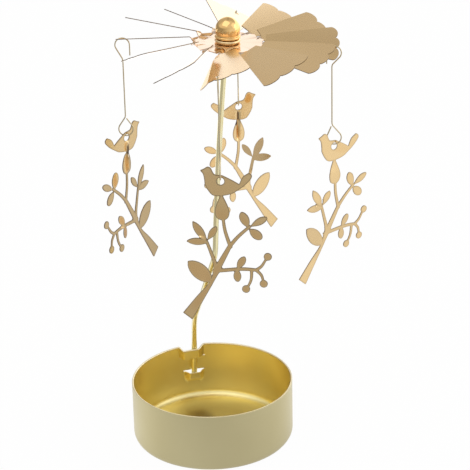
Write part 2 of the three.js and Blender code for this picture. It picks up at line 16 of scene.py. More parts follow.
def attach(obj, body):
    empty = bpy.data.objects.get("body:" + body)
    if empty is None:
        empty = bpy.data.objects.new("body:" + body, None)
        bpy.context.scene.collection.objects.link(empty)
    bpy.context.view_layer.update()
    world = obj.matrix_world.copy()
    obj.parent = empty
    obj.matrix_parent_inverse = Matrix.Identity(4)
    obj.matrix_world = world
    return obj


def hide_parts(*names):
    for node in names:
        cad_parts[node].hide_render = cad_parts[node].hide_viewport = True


bl_info = {
    "name": "Candle Carousel",
    "version": (1, 0, 0),
    "blender": (4, 5, 0),
    "location": "View3D > Sidebar > Carousel",
    "description": "Builds a candle carousel's visible pieces, materials and stage around its CAD frame",
    "category": "Add Mesh",
}

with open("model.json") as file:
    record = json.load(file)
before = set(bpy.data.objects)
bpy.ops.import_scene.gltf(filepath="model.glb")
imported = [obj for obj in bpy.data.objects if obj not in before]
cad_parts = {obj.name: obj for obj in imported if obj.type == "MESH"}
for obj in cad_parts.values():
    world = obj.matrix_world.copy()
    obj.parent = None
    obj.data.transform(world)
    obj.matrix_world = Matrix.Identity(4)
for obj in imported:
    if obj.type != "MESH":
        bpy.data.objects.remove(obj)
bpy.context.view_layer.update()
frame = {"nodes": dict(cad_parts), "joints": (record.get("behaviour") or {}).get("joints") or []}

MM = 0.001
SIDES = ("right", "back", "left", "front")


def colour(code):
    """An sRGB hex value as linear red, green and blue."""
    channels = [int(code[i : i + 2], 16) / 255 for i in (0, 2, 4)]
    return tuple(c / 12.92 if c <= 0.04045 else ((c + 0.055) / 1.055) ** 2.4 for c in channels)


def length(name, description, default):
    """A size for the panel, from millimetres."""
    settings = {"default": default * MM, "unit": "LENGTH", "precision": 5}
    return FloatProperty(name=name, description=description, **settings)


def tint(name, description, code):
    """A colour for the panel, from an sRGB hex value."""
    settings = {"default": colour(code), "subtype": "COLOR", "min": 0, "max": 1}
    return FloatVectorProperty(name=name, description=description, **settings)


class CarouselSizes(bpy.types.PropertyGroup):
    """Sizes that the visible pieces are made to."""

    cup_radius: length("Cup Radius", "Outer radius of the cup's wall", 33)
    cup_height: length("Cup Height", "Height of the cup's rim", 25.4)
    cup_wall: length("Cup Wall", "Thickness of the cup's sheet", 0.4)
    cup_corner: length("Cup Corner", "Outer radius between the cup's floor and wall", 3.7)
    stem_radius: length("Stem Radius", "Radius of the stem's wire", 1.1)
    wire_radius: length("Wire Radius", "Radius of the hangers' wire", 0.25)
    sheet: length("Sheet", "Thickness of the rotor and charms", 0.3)
    disc_radius: length("Disc Radius", "Radius of the rotor's flat middle", 13)
    notch_radius: length("Notch Radius", "Radius of the notches between the blades' lobes", 41.4)
    lobe_depth: length("Lobe Depth", "How far a lobe stands out past its notches", 1.5)
    charm_drop: length("Charm Drop", "From a charm's hole down to its twig's cut end", 57)


class CarouselColours(bpy.types.PropertyGroup):
    """Colours of the metal and of the stage."""

    cup_outside: tint("Cup Outside", "Pale satin plate on the outside of the cup", "d3c99f")
    cup_inside: tint("Cup Inside", "Gold satin plate on the inside of the cup", "fff4b6")
    # The rim's paler colour is a painted highlight.
    cup_rim: tint("Cup Rim", "Bright turned-over rim of the cup", "fbf0d2")
    stem: tint("Stem", "Drawn brass wire of the stem", "f9f3ce")
    rotor: tint("Rotor", "Rolled brass sheet of the rotor", "f2ce93")
    # The star's pale pinkish colour is a painted highlight.
    star: tint("Star", "Bright pressed brass in the rotor's middle", "ead0bb")
    hub: tint("Hub", "Polished brass of the hub's cap", "f3d095")
    collar: tint("Collar", "Paler turned brass of the hub's collar", "f4e2bb")
    wire: tint("Hanger Wire", "Bright wire of the hangers", "d4c8ae")
    charm: tint("Charm", "Etched brass sheet of the charms", "f5d49c")
    fold: tint("Folded Edge", "Worn brass of the front blade's folded edge", "f8d698")
    cut_edge: tint("Cut Edge", "Cut edges of the rotor and charms", "846a48")
    floor: tint("Floor", "Plain floor", "f2f2f0")


# Materials

# Colours that a tone mixes in: yellow for painted bright reflections; brown for painted shade, painted dark
# reflections and darker charm rims
PAINTED_YELLOW = colour("e0a24a")
PAINTED_BROWN = colour("5e4630")
LACQUER_ROUGHNESS = 0.1
# Roughness varies with the grain between these shares of it
GRAIN_ROUGHNESS = (0.75, 1.25)
# Each metal: the colour that it drifts to in soft patches, the size of those patches in millimetres, its
# roughness, and the size and the depth of its grain in millimetres
METALS = {
    "satin champagne plate": ("c6ba8e", 30, 0.34, (0.6, 0.002)),
    "satin gold plate": ("fbe69c", 14, 0.32, (0.6, 0.002)),
    # The rim's paler colour is a painted highlight.
    "rim bead painted highlight": ("efdcae", 8, 0.3, (0.4, 0.002)),
    "drawn brass wire": ("f2e3a8", 9, 0.24, (0.8, 0.005)),
    "lacquered rolled brass": ("ecc587", 25, 0.26, (0.5, 0.0005)),
    "sheared brass edge": ("624c30", 5, 0.4, (0.3, 0.003)),
    "worn folded brass": ("f4d08e", 6, 0.2, (0.4, 0.001)),
    # The star's pale pinkish colour is a painted highlight.
    "pressed star painted highlight": ("e2c6a8", 12, 0.1, (0.5, 0.0005)),
    "polished turned brass": ("e8b466", 6, 0.1, (0.3, 0.0003)),
    "turned pale brass": ("e6c48a", 6, 0.16, (0.3, 0.0003)),
    "plated spring wire": ("bba87c", 12, 0.25, (0.4, 0.003)),
    "lacquered etched brass": ("eecd92", 16, 0.18, (0.4, 0.0005)),
    "etched brass edge": ("624c30", 5, 0.4, (0.3, 0.003)),
}


def output(source):
    """A socket as it is, or the first output of a node that is in use."""
    if isinstance(source, bpy.types.NodeSocket):
        return source
    return next(socket for socket in source.outputs if socket.enabled)


def add_node(tree, kind, values=None, links=None, **settings):
    """Adds one node, sets its own settings, gives sockets their values and links others to sources."""
    node = tree.nodes.new(kind)
    for name, value in settings.items():
        setattr(node, name, value)
    for socket, value in (values or {}).items():
        node.inputs[socket].default_value = value
    for socket, source in (links or {}).items():
        tree.links.new(output(source), node.inputs[socket])
    return node


def metal(name, base, wave=None, stretch=(1, 1, 1), lacquer=0, toned=False):
    """A metal of the table above, in its base colour. Its waves are a size and a depth in millimetres."""
    stain, stain_mm, roughness, grain = METALS[name]
    material = bpy.data.materials.new(name)
    material.use_nodes = True
    tree = material.node_tree
    shader = tree.nodes["Principled BSDF"]
    shader.inputs["Metallic"].default_value = 1
    shader.inputs["Coat Weight"].default_value = lacquer
    shader.inputs["Coat Roughness"].default_value = LACQUER_ROUGHNESS
    place = add_node(tree, "ShaderNodeTexCoord").outputs["Object"]
    patch_size = {"Scale": 1 / (stain_mm * MM), "Detail": 2}
    patches = add_node(tree, "ShaderNodeTexNoise", patch_size, {"Vector": place})
    ends = {"A": (*base, 1), "B": (*colour(stain), 1)}
    mix = add_node(tree, "ShaderNodeMix", ends, {"Factor": patches}, data_type="RGBA")
    if toned:
        # The piece's own "tone" says where it is painted browner, up to 1, or yellower, down to -1, for
        # painted shade, painted reflections and darker rims.
        tone = add_node(tree, "ShaderNodeAttribute", attribute_name="tone").outputs["Fac"]
        for full, painted_tone in ((-1, PAINTED_YELLOW), (1, PAINTED_BROWN)):
            share = add_node(tree, "ShaderNodeMapRange", {"From Max": full}, {"Value": tone})
            sources = {"Factor": share, "A": mix}
            mix = add_node(tree, "ShaderNodeMix", {"B": (*painted_tone, 1)}, sources, data_type="RGBA")
    stretched = add_node(tree, "ShaderNodeMapping", {"Scale": stretch}, {"Vector": place})
    grain_size = {"Scale": 1 / (grain[0] * MM), "Detail": 3}
    grains = add_node(tree, "ShaderNodeTexNoise", grain_size, {"Vector": stretched})
    low, high = (roughness * share for share in GRAIN_ROUGHNESS)
    rough = add_node(tree, "ShaderNodeMapRange", {"To Min": low, "To Max": high}, {"Value": grains})
    bump = add_node(tree, "ShaderNodeBump", {"Strength": 1, "Distance": grain[1] * MM}, {"Height": grains})
    if wave:
        wave_size = {"Scale": 1 / (wave[0] * MM), "Detail": 1}
        waves = add_node(tree, "ShaderNodeTexNoise", wave_size, {"Vector": place})
        depth = {"Strength": 1, "Distance": wave[1] * MM}
        bump = add_node(tree, "ShaderNodeBump", depth, {"Height": waves, "Normal": bump})
    for socket, source in (("Base Color", mix), ("Roughness", rough), ("Normal", bump)):
        tree.links.new(output(source), shader.inputs[socket])
    return material


# Shapes


def new_object(name, vertices, faces, material):
    """A mesh object from points in millimetres."""
    mesh = bpy.data.meshes.new(name)
    mesh.from_pydata([tuple(np.asarray(v) * MM) for v in vertices], [], faces)
    mesh.update()
    mesh.materials.append(material)
    piece = bpy.data.objects.new(name, mesh)
    bpy.context.scene.collection.objects.link(piece)
    return piece


def take_in_modifiers(piece):
    """Makes what a piece's modifiers show its own mesh."""
    bpy.context.view_layer.update()
    whole = piece.evaluated_get(bpy.context.evaluated_depsgraph_get())
    mesh = bpy.data.meshes.new_from_object(whole)
    piece.modifiers.clear()
    piece.data = mesh


def finish_piece(piece, body, nodes, sharp=35):
    """Takes in the piece's modifiers, smooths its faces, gives it its body, and hides the CAD nodes that it
    stands for.
    """
    take_in_modifiers(piece)
    piece.data.shade_smooth()
    piece.data.set_sharp_from_angle(angle=math.radians(sharp))
    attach(piece, body)
    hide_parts(*nodes)


def thicken(piece, thickness, edge, back=None, rim=None):
    """Gives a one-sided surface its sheet's thickness, and its back and cut edges finishes of their own."""
    sheet = piece.modifiers.new("Sheet", "SOLIDIFY")
    sheet.thickness = thickness
    sheet.offset = 0
    sheet.use_even_offset = True
    for setting, finish in (("material_offset", back), ("material_offset_rim", rim)):
        if finish:
            piece.data.materials.append(finish)
            setattr(sheet, setting, len(piece.data.materials) - 1)
    if edge:
        deburr = piece.modifiers.new("Deburr", "BEVEL")
        deburr.width = edge
        deburr.segments = 1
        deburr.limit_method = "ANGLE"
        deburr.angle_limit = math.radians(60)


def set_tones(piece, tones):
    """Tells a piece's toned metal how much browner or yellower it is painted, with one value for each point.
    """
    attribute = piece.data.attributes.new("tone", "FLOAT", "POINT")
    attribute.data.foreach_set("value", tones)


def polar(radius, degrees, height=0):
    """The point at a radius and an angle about Z."""
    angle = math.radians(degrees)
    return radius * math.cos(angle), radius * math.sin(angle), height


def turned(profile, segments):
    """Points and faces of a profile of radius and height, turned about Z. A radius of zero is one point."""
    vertices, rings, faces = [], [], []
    for radius, height in profile:
        count = 1 if radius == 0 else segments
        rings.append([len(vertices) + i for i in range(count)])
        for i in range(count):
            angle = 2 * math.pi * i / segments
            vertices.append((radius * math.cos(angle), radius * math.sin(angle), height))
    for low, high in zip(rings, rings[1:]):
        for i in range(segments):
            j = (i + 1) % segments
            corners = [low[i % len(low)], low[j % len(low)], high[j % len(high)], high[i % len(high)]]
            faces.append(tuple(dict.fromkeys(corners)))
    return vertices, [f for f in faces if len(f) > 2]


def rod(points, half_axes, first_normal, sides):
    """Points and faces of a rod of changing section, with its first normal carried along the line."""
    points = np.asarray(points, float)
    normal = np.asarray(first_normal, float)
    vertices, faces = [], []
    for i, centre in enumerate(points):
        along = points[min(i + 1, len(points) - 1)] - points[max(i - 1, 0)]
        along /= np.linalg.norm(along)
        normal = normal - along * normal.dot(along)
        normal /= np.linalg.norm(normal)
        across = np.cross(along, normal)
        thick, wide = half_axes(i)
        for side in range(sides):
            angle = 2 * math.pi * side / sides
            vertices.append(centre + normal * thick * math.cos(angle) + across * wide * math.sin(angle))
    for i in range(1, len(points)):
        for side in range(sides):
            j = (side + 1) % sides
            a, b = (i - 1) * sides, i * sides
            faces.append((a + side, a + j, b + j, b + side))
    faces.append(tuple(range(sides))[::-1])
    faces.append(tuple(len(vertices) - sides + i for i in range(sides)))
    return vertices, faces


def smooth_line(points, spans):
    """A Catmull-Rom line through points, cut into spans between each two."""
    points = np.asarray(points, float)
    padded = np.vstack([2 * points[0] - points[1], points, 2 * points[-1] - points[-2]])
    line = []
    for i in range(len(points) - 1):
        a, b, c, d = padded[i : i + 4]
        for t in np.arange(spans) / spans:
            second, third = 2 * a - 5 * b + 4 * c - d, 3 * b - a - 3 * c + d
            line.append((2 * b + (c - a) * t + second * t**2 + third * t**3) / 2)
    return np.array([*line, points[-1]])


def bezier(a, b, c, spans):
    """A curve from a to c that is drawn towards b."""
    a, b, c = (np.asarray(p, float) for p in (a, b, c))
    return [(1 - t) ** 2 * a + 2 * t * (1 - t) * b + t**2 * c for t in np.arange(spans + 1) / spans]


def smoothstep(value, low, high):
    """0 below low, 1 above high, and a soft step between them."""
    t = np.clip((np.asarray(value, float) - low) / (high - low), 0, 1)
    return t * t * (3 - 2 * t)


def turn_about(axis, degrees):
    """A rotation matrix about one of the main axes."""
    c, s = math.cos(math.radians(degrees)), math.sin(math.radians(degrees))
    return np.array(
        {
            "x": [[1, 0, 0], [0, c, -s], [0, s, c]],
            "y": [[c, 0, s], [0, 1, 0], [-s, 0, c]],
            "z": [[c, -s, 0], [s, c, 0], [0, 0, 1]],
        }[axis]
    )


def joint(name):
    """Where a joint of the frame is, in millimetres, and its axis."""
    found = next(j for j in frame["joints"] if j["name"] == name)
    return np.array(found["pos_m"]) / MM, np.array(found["axis"])


# Cup

# Where the clip is round the cup, in degrees
CLIP_ANGLE = 104.6
# The clip is a band at the rim and a pocket below it, pressed inwards from the wall: their heights, the places
# round the wall between which they are at full depth, and how long their slopes are, in millimetres
BAND = {"foot": 19.8, "rim_drop": 1, "flat": (-1.5, 5.2), "ramps": (3.4, 1.2)}
POCKET = {"foot": 8.3, "full": 10.9, "lip": 13.5, "flat": (-2.1, 2.1), "ramps": (2.3, 2.3)}
PRESS_DEPTH = 2.9
SHEAR_GAP = 0.3
CUP_EDGE = 0.1
RIM_BEAD = 0.35
RIM_STEPS = 540
# The cup's mesh: columns for so many degrees to each side of the clip and for the rest, and rings on its floor
FINE_HALF = 13
FINE_COLUMNS = 44
PLAIN_COLUMNS = 134
FLOOR_RINGS = (0.12, 0.24, 0.36, 0.48, 0.6, 0.72, 0.84, 0.94)
# Painted shade browns the cup's floor: by a share all over, fading out between two heights up
# its corner, and more in soft patches below FLOOR_TOP, given by their middles, half sizes and strengths
FLOOR_SHADE = 0.18
FLOOR_SHADE_FADE = (0.5, 2.5)
FLOOR_TOP = 1
FLOOR_SHADE_PATCHES = (((2, 14), (34, 20), 0.38), ((-5, 13), (7, 8), 0.25), ((12, 9), (8, 6), 0.35))
PATCH_CORE = 0.3


def press_share(shape, angle, radius):
    """How far the clip is pressed in at an angle round the cup, from 0 to 1."""
    place = math.radians(angle - CLIP_ANGLE) * radius
    right = (place - shape["flat"][0] + shape["ramps"][0]) / shape["ramps"][0]
    left = (shape["flat"][1] + shape["ramps"][1] - place) / shape["ramps"][1]
    return float(smoothstep(min(right, left), 0, 1))


def cup_surface(sizes):
    """The middle of the cup's sheet, in columns round it and levels up it, torn where the clip is sheared."""
    wall = sizes.cup_wall / MM
    radius = sizes.cup_radius / MM - wall / 2
    height = sizes.cup_height / MM
    corner = sizes.cup_corner / MM - wall / 2
    flat = radius - corner
    fine, plain = 2 * FINE_HALF, 360 - 2 * FINE_HALF
    angles = [CLIP_ANGLE - FINE_HALF + fine * i / FINE_COLUMNS for i in range(FINE_COLUMNS + 1)]
    angles += [CLIP_ANGLE + FINE_HALF + plain * i / PLAIN_COLUMNS for i in range(1, PLAIN_COLUMNS)]
    floor = [(flat * share, wall / 2) for share in FLOOR_RINGS]
    bend = [
        (flat + corner * math.sin(turn), wall / 2 + corner * (1 - math.cos(turn)))
        for turn in np.linspace(0, math.pi / 2, 9)
    ]

    def levels(low, high, count):
        return [(radius, z) for z in np.linspace(low, high, count)]

    def still(*_):
        return 0

    def pocket_press(angle, z):
        return press_share(POCKET, angle, radius) * float(smoothstep(z, POCKET["foot"], POCKET["full"]))

    def pocket_rise(share, z):
        return -SHEAR_GAP if z >= POCKET["lip"] and share > 0 else 0

    def band_press(angle, z):
        return press_share(BAND, angle, radius)

    def band_rise(share, z):
        gap = SHEAR_GAP if z <= BAND["foot"] and share > 0 else 0
        return gap - BAND["rim_drop"] * share * float(smoothstep(z, BAND["foot"], height))

    low = floor + bend + levels(bend[-1][1], POCKET["foot"], 4)[1:]
    strips = [
        (low, still, still),
        (levels(POCKET["foot"], POCKET["lip"], 8), pocket_press, pocket_rise),
        (levels(POCKET["lip"], BAND["foot"], 5), still, still),
        (levels(BAND["foot"], height, 7), band_press, band_rise),
    ]
    vertices, faces, known = [(0, 0, wall / 2)], [], {}

    def corner_at(column, level, press, rise):
        angle = angles[column % len(angles)]
        r, z = level
        share = press(angle, z)
        point = polar(r - PRESS_DEPTH * share, angle, z + rise(share, z))
        key = tuple(round(value, 5) for value in point)
        if key not in known:
            known[key] = len(vertices)
            vertices.append(point)
        return known[key]

    for column in range(len(angles)):
        first, second = (corner_at(column + step, low[0], still, still) for step in (0, 1))
        faces.append((0, first, second))
        for rings, press, rise in strips:
            for below, above in zip(rings, rings[1:]):
                a, b = (corner_at(column + step, below, press, rise) for step in (0, 1))
                c, d = (corner_at(column + step, above, press, rise) for step in (1, 0))
                faces.append((a, b, c, d))
    return vertices, faces


def floor_shade(places):
    """How much painted shade browns the cup's floor at each place: a little all over, more in soft patches."""
    x, y, z = places.T
    tone = FLOOR_SHADE * (1 - smoothstep(z, *FLOOR_SHADE_FADE))
    for middle, half, strength in FLOOR_SHADE_PATCHES:
        reach = np.hypot((x - middle[0]) / half[0], (y - middle[1]) / half[1])
        tone = tone + strength * (1 - smoothstep(reach, PATCH_CORE, 1)) * (z < FLOOR_TOP)
    return tone


def rim_line(sizes):
    """The middle of the bead along the rim, flush with the wall's outside and with the rim's height."""
    radius = sizes.cup_radius / MM - RIM_BEAD
    line = []
    for step in range(RIM_STEPS + 1):
        angle = CLIP_ANGLE + 180 + 360 * step / RIM_STEPS
        offset = (angle - CLIP_ANGLE + 180) % 360 - 180
        share = press_share(BAND, CLIP_ANGLE + offset, radius)
        height = sizes.cup_height / MM - RIM_BEAD - BAND["rim_drop"] * share
        line.append(polar(radius - PRESS_DEPTH * share, angle, height))
    return line


class CAROUSEL_OT_cup(bpy.types.Operator):
    """Make the tealight cup, with the stem's clip pressed out of its wall"""

    bl_idname = "carousel.cup"
    bl_label = "Cup"

    def execute(self, context):
        sizes, colours = context.scene.carousel_sizes, context.scene.carousel_colours
        # Brass plate on drawn sheet, satin brushed: the reflections spread wide and stay pale.
        outside = metal("satin champagne plate", colours.cup_outside)
        # The same plate is warmer inside; the browner floor inside it is painted shade.
        inside = metal("satin gold plate", colours.cup_inside, toned=True)
        # The rim is turned over into a small bead; its paler colour is a painted highlight, so it shows as a
        # thin light line.
        rim = metal("rim bead painted highlight", colours.cup_rim)
        vertices, faces = cup_surface(sizes)
        cup = new_object("tealight_cup", vertices, faces, outside)
        # Painted shade browns the cup's floor.
        set_tones(cup, floor_shade(np.array(vertices)))
        thicken(cup, sizes.cup_wall, CUP_EDGE * MM, back=inside, rim=rim)
        finish_piece(cup, "cup", ["cup"])
        vertices, faces = rod(rim_line(sizes), lambda i: (RIM_BEAD, RIM_BEAD), (0, 0, 1), 12)
        rim_bead = new_object("cup_rim_bead", vertices, faces, rim)
        finish_piece(rim_bead, "cup", ["cup"])
        return {"FINISHED"}


# Stem

# How far its foot leans round the cup, in degrees, and then places and heights in millimetres
STEM_LEAN = 1.66
STEM_PLACE = 31.35
FOOT_END = 11.2
CLIP_MIDDLE = 16.65
LOW_BEND = 38.2
HIGH_BEND = (2.7, 0, 81)
STEM_BOW = 0.75
BEND_REACH = 5
# The point: its length, and its rings as a share of that length and of the wire's radius there
POINT_LENGTH = 3.2
POINT_RINGS = ((0.3, 0.85), (0.6, 0.6), (0.85, 0.3), (1, 0.14))
# The foot is flattened to these half sizes below a height, and its end is sheared off a little smaller
FLAT_TOP = 28
FLAT_BLEND = 4
FOOT_HALF = (0.95, 1.25)
SHEARED_END = 0.8
FOOT_EDGE = 0.25


def stem_line():
    """The stem's centreline, as in the CAD: foot in the clip, over the cup, and up to the hub."""
    clip = math.radians(CLIP_ANGLE)
    radial = np.array([math.cos(clip), math.sin(clip), 0])
    rightwards = np.array([radial[1], -radial[0], 0])

    def foot(z):
        place = radial * STEM_PLACE + rightwards * math.tan(math.radians(STEM_LEAN)) * (z - CLIP_MIDDLE)
        return np.array([place[0], place[1], z])

    def towards(start, end, reach):
        return start + (end - start) / np.linalg.norm(end - start) * reach

    tip, _ = joint("rotor_spin")
    low, high = foot(LOW_BEND), np.array(HIGH_BEND, float)
    bow = (high + tip) / 2 + np.array([-2 * STEM_BOW, 0, 0])
    base = towards(tip, bow, POINT_LENGTH)
    upper = towards(high, bow, BEND_REACH)
    line = [foot(FOOT_END)] + [foot(z) for z in np.linspace(FOOT_END + FOOT_EDGE, FLAT_TOP, 12)]
    line += bezier(towards(low, foot(FOOT_END), BEND_REACH), low, towards(low, high, BEND_REACH), 12)
    line += bezier(towards(high, low, BEND_REACH), high, upper, 12)
    line += bezier(upper, bow, base, 24)[1:]
    return line + [base + (tip - base) * share for share, _ in POINT_RINGS], radial


class CAROUSEL_OT_stem(bpy.types.Operator):
    """Make the bent wire stem with its flattened foot and ground point"""

    bl_idname = "carousel.stem"
    bl_label = "Stem"

    def execute(self, context):
        sizes, colours = context.scene.carousel_sizes, context.scene.carousel_colours
        line, radial = stem_line()
        radius = sizes.stem_radius / MM
        first_ring = len(line) - len(POINT_RINGS)

        def half_axes(i):
            if i >= first_ring:
                left = radius * POINT_RINGS[i - first_ring][1]
                return left, left
            flat = 1 - float(smoothstep(line[i][2], FLAT_TOP - FLAT_BLEND, FLAT_TOP))
            sheared = SHEARED_END if i == 0 else 1
            return tuple(sheared * (radius + (half - radius) * flat) for half in FOOT_HALF)

        # Hard-drawn brass wire, bright: long streaks from the drawing die run along it.
        finish = metal("drawn brass wire", colours.stem, stretch=(1, 1, 0.1))
        vertices, faces = rod(line, half_axes, radial, 28)
        stem = new_object("stem_wire", vertices, faces, finish)
        finish_piece(stem, "stem", ["stem"])
        return {"FINISHED"}


# Rotor, about its own axis, with the sheet's middle at zero

# How far the ring of blades is turned from the first joint's side, in degrees
ROTOR_TURN = -1
TIP_ABOVE_DISC = 6.5
BLADES = 12
PITCH = 360 / BLADES
HALF_ANGLE = (PITCH - 1) / 2
# A neck is set off its blade's middle, in millimetres, and a tab of the disc stands between each two necks
NECK_OFFSET = 1.7
NECK_HALF = 1.5
NECK_LENGTH = 1.5
NECK_ROWS = 5
SHOULDER = 0.2
TAB = 1.4
STAR_MARGIN = 0.1
CENTRE_HOLE = 3.8
# Each blade's edge has lobes, rounded by a power, and its rows are at these shares of the way out to the edge
LOBES = 3
LOBE_STEPS = 12
LOBE_POWER = 0.6
BLADE_ROWS = (0, 0.04, 0.1, 0.2, 0.32, 0.46, 0.6, 0.74, 0.86, 0.94, 1)
# Every third blade has a hole for a hanger
HOOK_ANGLE = -HALF_ANGLE / LOBES
HOOK_RADIUS = 0.88
HOOK_FROM_AXIS = 38.9
DRILL_REACH = 2
# A bend starts within the neck and grows by a power over a span outwards. A droop is whole at the blade's
# lower corner, this far below the neck's line
BEND_START = (12.9, 14.6)
BEND_FROM = 13
BEND_SPAN = 30
BEND_POWER = 0.7
LOW_CORNER = 8.5
# How each blade was bent by hand, from the one at the right and on round past the back: how far it is turned
# round, its twist at the neck and at the tip in degrees, how far it is lifted at its neck and at its tip, and
# how far its lower corner droops, in millimetres
BLADE_BENDS = (
    (0, 24, 16, 0, 0, 0.8),
    (-1.5, 22, 18, 0, 0, 0.4),
    (-3, 24, 18, 0, 0, 0),
    (0, 26, 24, 0, 0, 0),
    (-4.4, 26.5, 26.3, 0.9, -2.8, 0),
    (-0.9, 20.4, 20.5, 1.4, 1.1, 0),
    (0, 17.8, 17.6, 1.5, 0, 0),
    (1.6, 21.3, 24.9, 1.5, -0.4, 0),
    (1.8, 50.5, 31.7, -0.6, -1.6, 0),
    (-1.5, 25, 20, 0, -0.5, 0),
    (3, 24, 23, 0, 0, 0.4),
    (1, 22, 16, 0, 0, 0),
)
# The front blade's lower edge is folded down along a line from its neck to its tip
FOLDED_BLADE = 9
FOLD_LINE = ((19, -4.9), (43, -5.6))
FOLD_ANGLE = 30
FOLDED_ROWS = 41


def rotor_place():
    """Where the rotor's middle is, and the matrix that tilts it onto the stem's point."""
    tip, axis = joint("rotor_spin")
    tilt = math.degrees(math.atan2(axis[0], axis[2]))
    return tip - axis * TIP_ABOVE_DISC, turn_about("y", tilt)


def past_fold(blade, x, y):
    """How far a place on a flat blade lies beyond the blade's fold, or zero."""
    (x0, y0), (x1, y1) = FOLD_LINE
    if blade != FOLDED_BLADE or x < x0:
        return 0
    return max(0, y0 + (y1 - y0) * (x - x0) / (x1 - x0) - y)


def bent(blade, x, y):
    """Where a place on a flat blade ends up once the blade is bent, before it is turned to its side."""
    turned_round, at_neck, at_tip, neck_lift, tip_lift, droop = BLADE_BENDS[blade]
    out = float(np.clip((x - BEND_FROM) / BEND_SPAN, 0, 1))
    started = float(smoothstep(x, *BEND_START))
    twist = (at_neck + (at_tip - at_neck) * out**BEND_POWER) * started
    lift = (neck_lift + (tip_lift - neck_lift) * out) * started

    def twisted(y_flat):
        return turn_about("x", twist) @ np.array([0, y_flat + NECK_OFFSET, 0]) + np.array([x, -NECK_OFFSET, 0])

    past = past_fold(blade, x, y)
    if past:
        flap = turn_about("x", twist + FOLD_ANGLE * started) @ np.array([0, -past, 0])
        point = twisted(y + past) + flap
        point[2] += lift
    else:
        low = max(0, -(y + NECK_OFFSET) / LOW_CORNER)
        point = twisted(y)
        point[2] += lift - droop * low**2 * out
    return turn_about("z", turned_round * started) @ point


def blade_rows(blade, sizes):
    """Rows of flat places on a blade, from the disc along its neck and out to its lobed edge."""
    disc, notch, lobe = (size / MM for size in (sizes.disc_radius, sizes.notch_radius, sizes.lobe_depth))
    steps = LOBES * LOBE_STEPS
    shares = [2 * i / steps - 1 for i in range(steps + 1)]
    sine = [abs(math.sin(math.pi * i / LOBE_STEPS)) for i in range(steps + 1)]
    edge = [notch + lobe * s**LOBE_POWER for s in sine]
    neck_end = disc + NECK_LENGTH
    neck = [NECK_HALF * share - NECK_OFFSET for share in shares]
    rows = [[(math.sqrt(disc**2 - y**2), y) for y in neck]]
    for along in np.linspace(disc, neck_end, NECK_ROWS)[1:]:
        rows.append([(along, y) for y in neck])
    for part in np.linspace(0, 1, FOLDED_ROWS) if blade == FOLDED_BLADE else BLADE_ROWS:
        row = []
        for share, rim in zip(shares, edge):
            root = (neck_end + SHOULDER) / math.cos(math.radians(HALF_ANGLE * share))
            row.append(polar(root + (rim - root) * part, HALF_ANGLE * share)[:2])
        rows.append(row)
    return rows


def rotor_surface(sizes):
    """The middle of the rotor's sheet, a flat star that grows into twelve blades, and its folded faces."""
    vertices, faces, folded = [], [], []
    inner, outer = [], []

    def add(point):
        vertices.append(np.array(point))
        return len(vertices) - 1

    for blade in range(BLADES):
        middle = ROTOR_TURN + PITCH * blade
        turn = turn_about("z", middle)
        rows = blade_rows(blade, sizes)
        grid = [[add(turn @ bent(blade, x, y)) for x, y in row] for row in rows]
        for level, (low, high) in enumerate(zip(grid, grid[1:])):
            for i in range(len(low) - 1):
                if past_fold(blade, *rows[level][i]):
                    folded.append(len(faces))
                faces.append((low[i], high[i], high[i + 1], low[i + 1]))
        outer.extend(grid[0])
        outer.append(add(polar(sizes.disc_radius / MM + TAB, middle + PITCH / 2)))
    for i in outer:
        angle = math.atan2(vertices[i][1], vertices[i][0])
        inner.append(add((CENTRE_HOLE * math.cos(angle), CENTRE_HOLE * math.sin(angle), 0)))
    for i in range(len(outer)):
        j = (i + 1) % len(outer)
        faces.append((inner[i], outer[i], outer[j], inner[j]))
    return vertices, faces, folded


def drill(piece, cutters):
    """Cuts round holes: each cutter is a centre, a direction and a radius in millimetres."""
    bits = []
    for centre, direction, radius in cutters:
        line = [centre - direction * DRILL_REACH, centre + direction * DRILL_REACH]
        side = np.cross(direction, (1, 0, 0) if abs(direction[0]) < 0.8 else (0, 1, 0))
        vertices, faces = rod(line, lambda i: (radius, radius), side, 24)
        bits.append(new_object("drill_bit", vertices, faces, piece.data.materials[0]))
        cut = piece.modifiers.new("Hole", "BOOLEAN")
        cut.operation = "DIFFERENCE"
        cut.solver = "EXACT"
        cut.object = bits[-1]
    take_in_modifiers(piece)
    for bit in bits:
        bpy.data.objects.remove(bit)


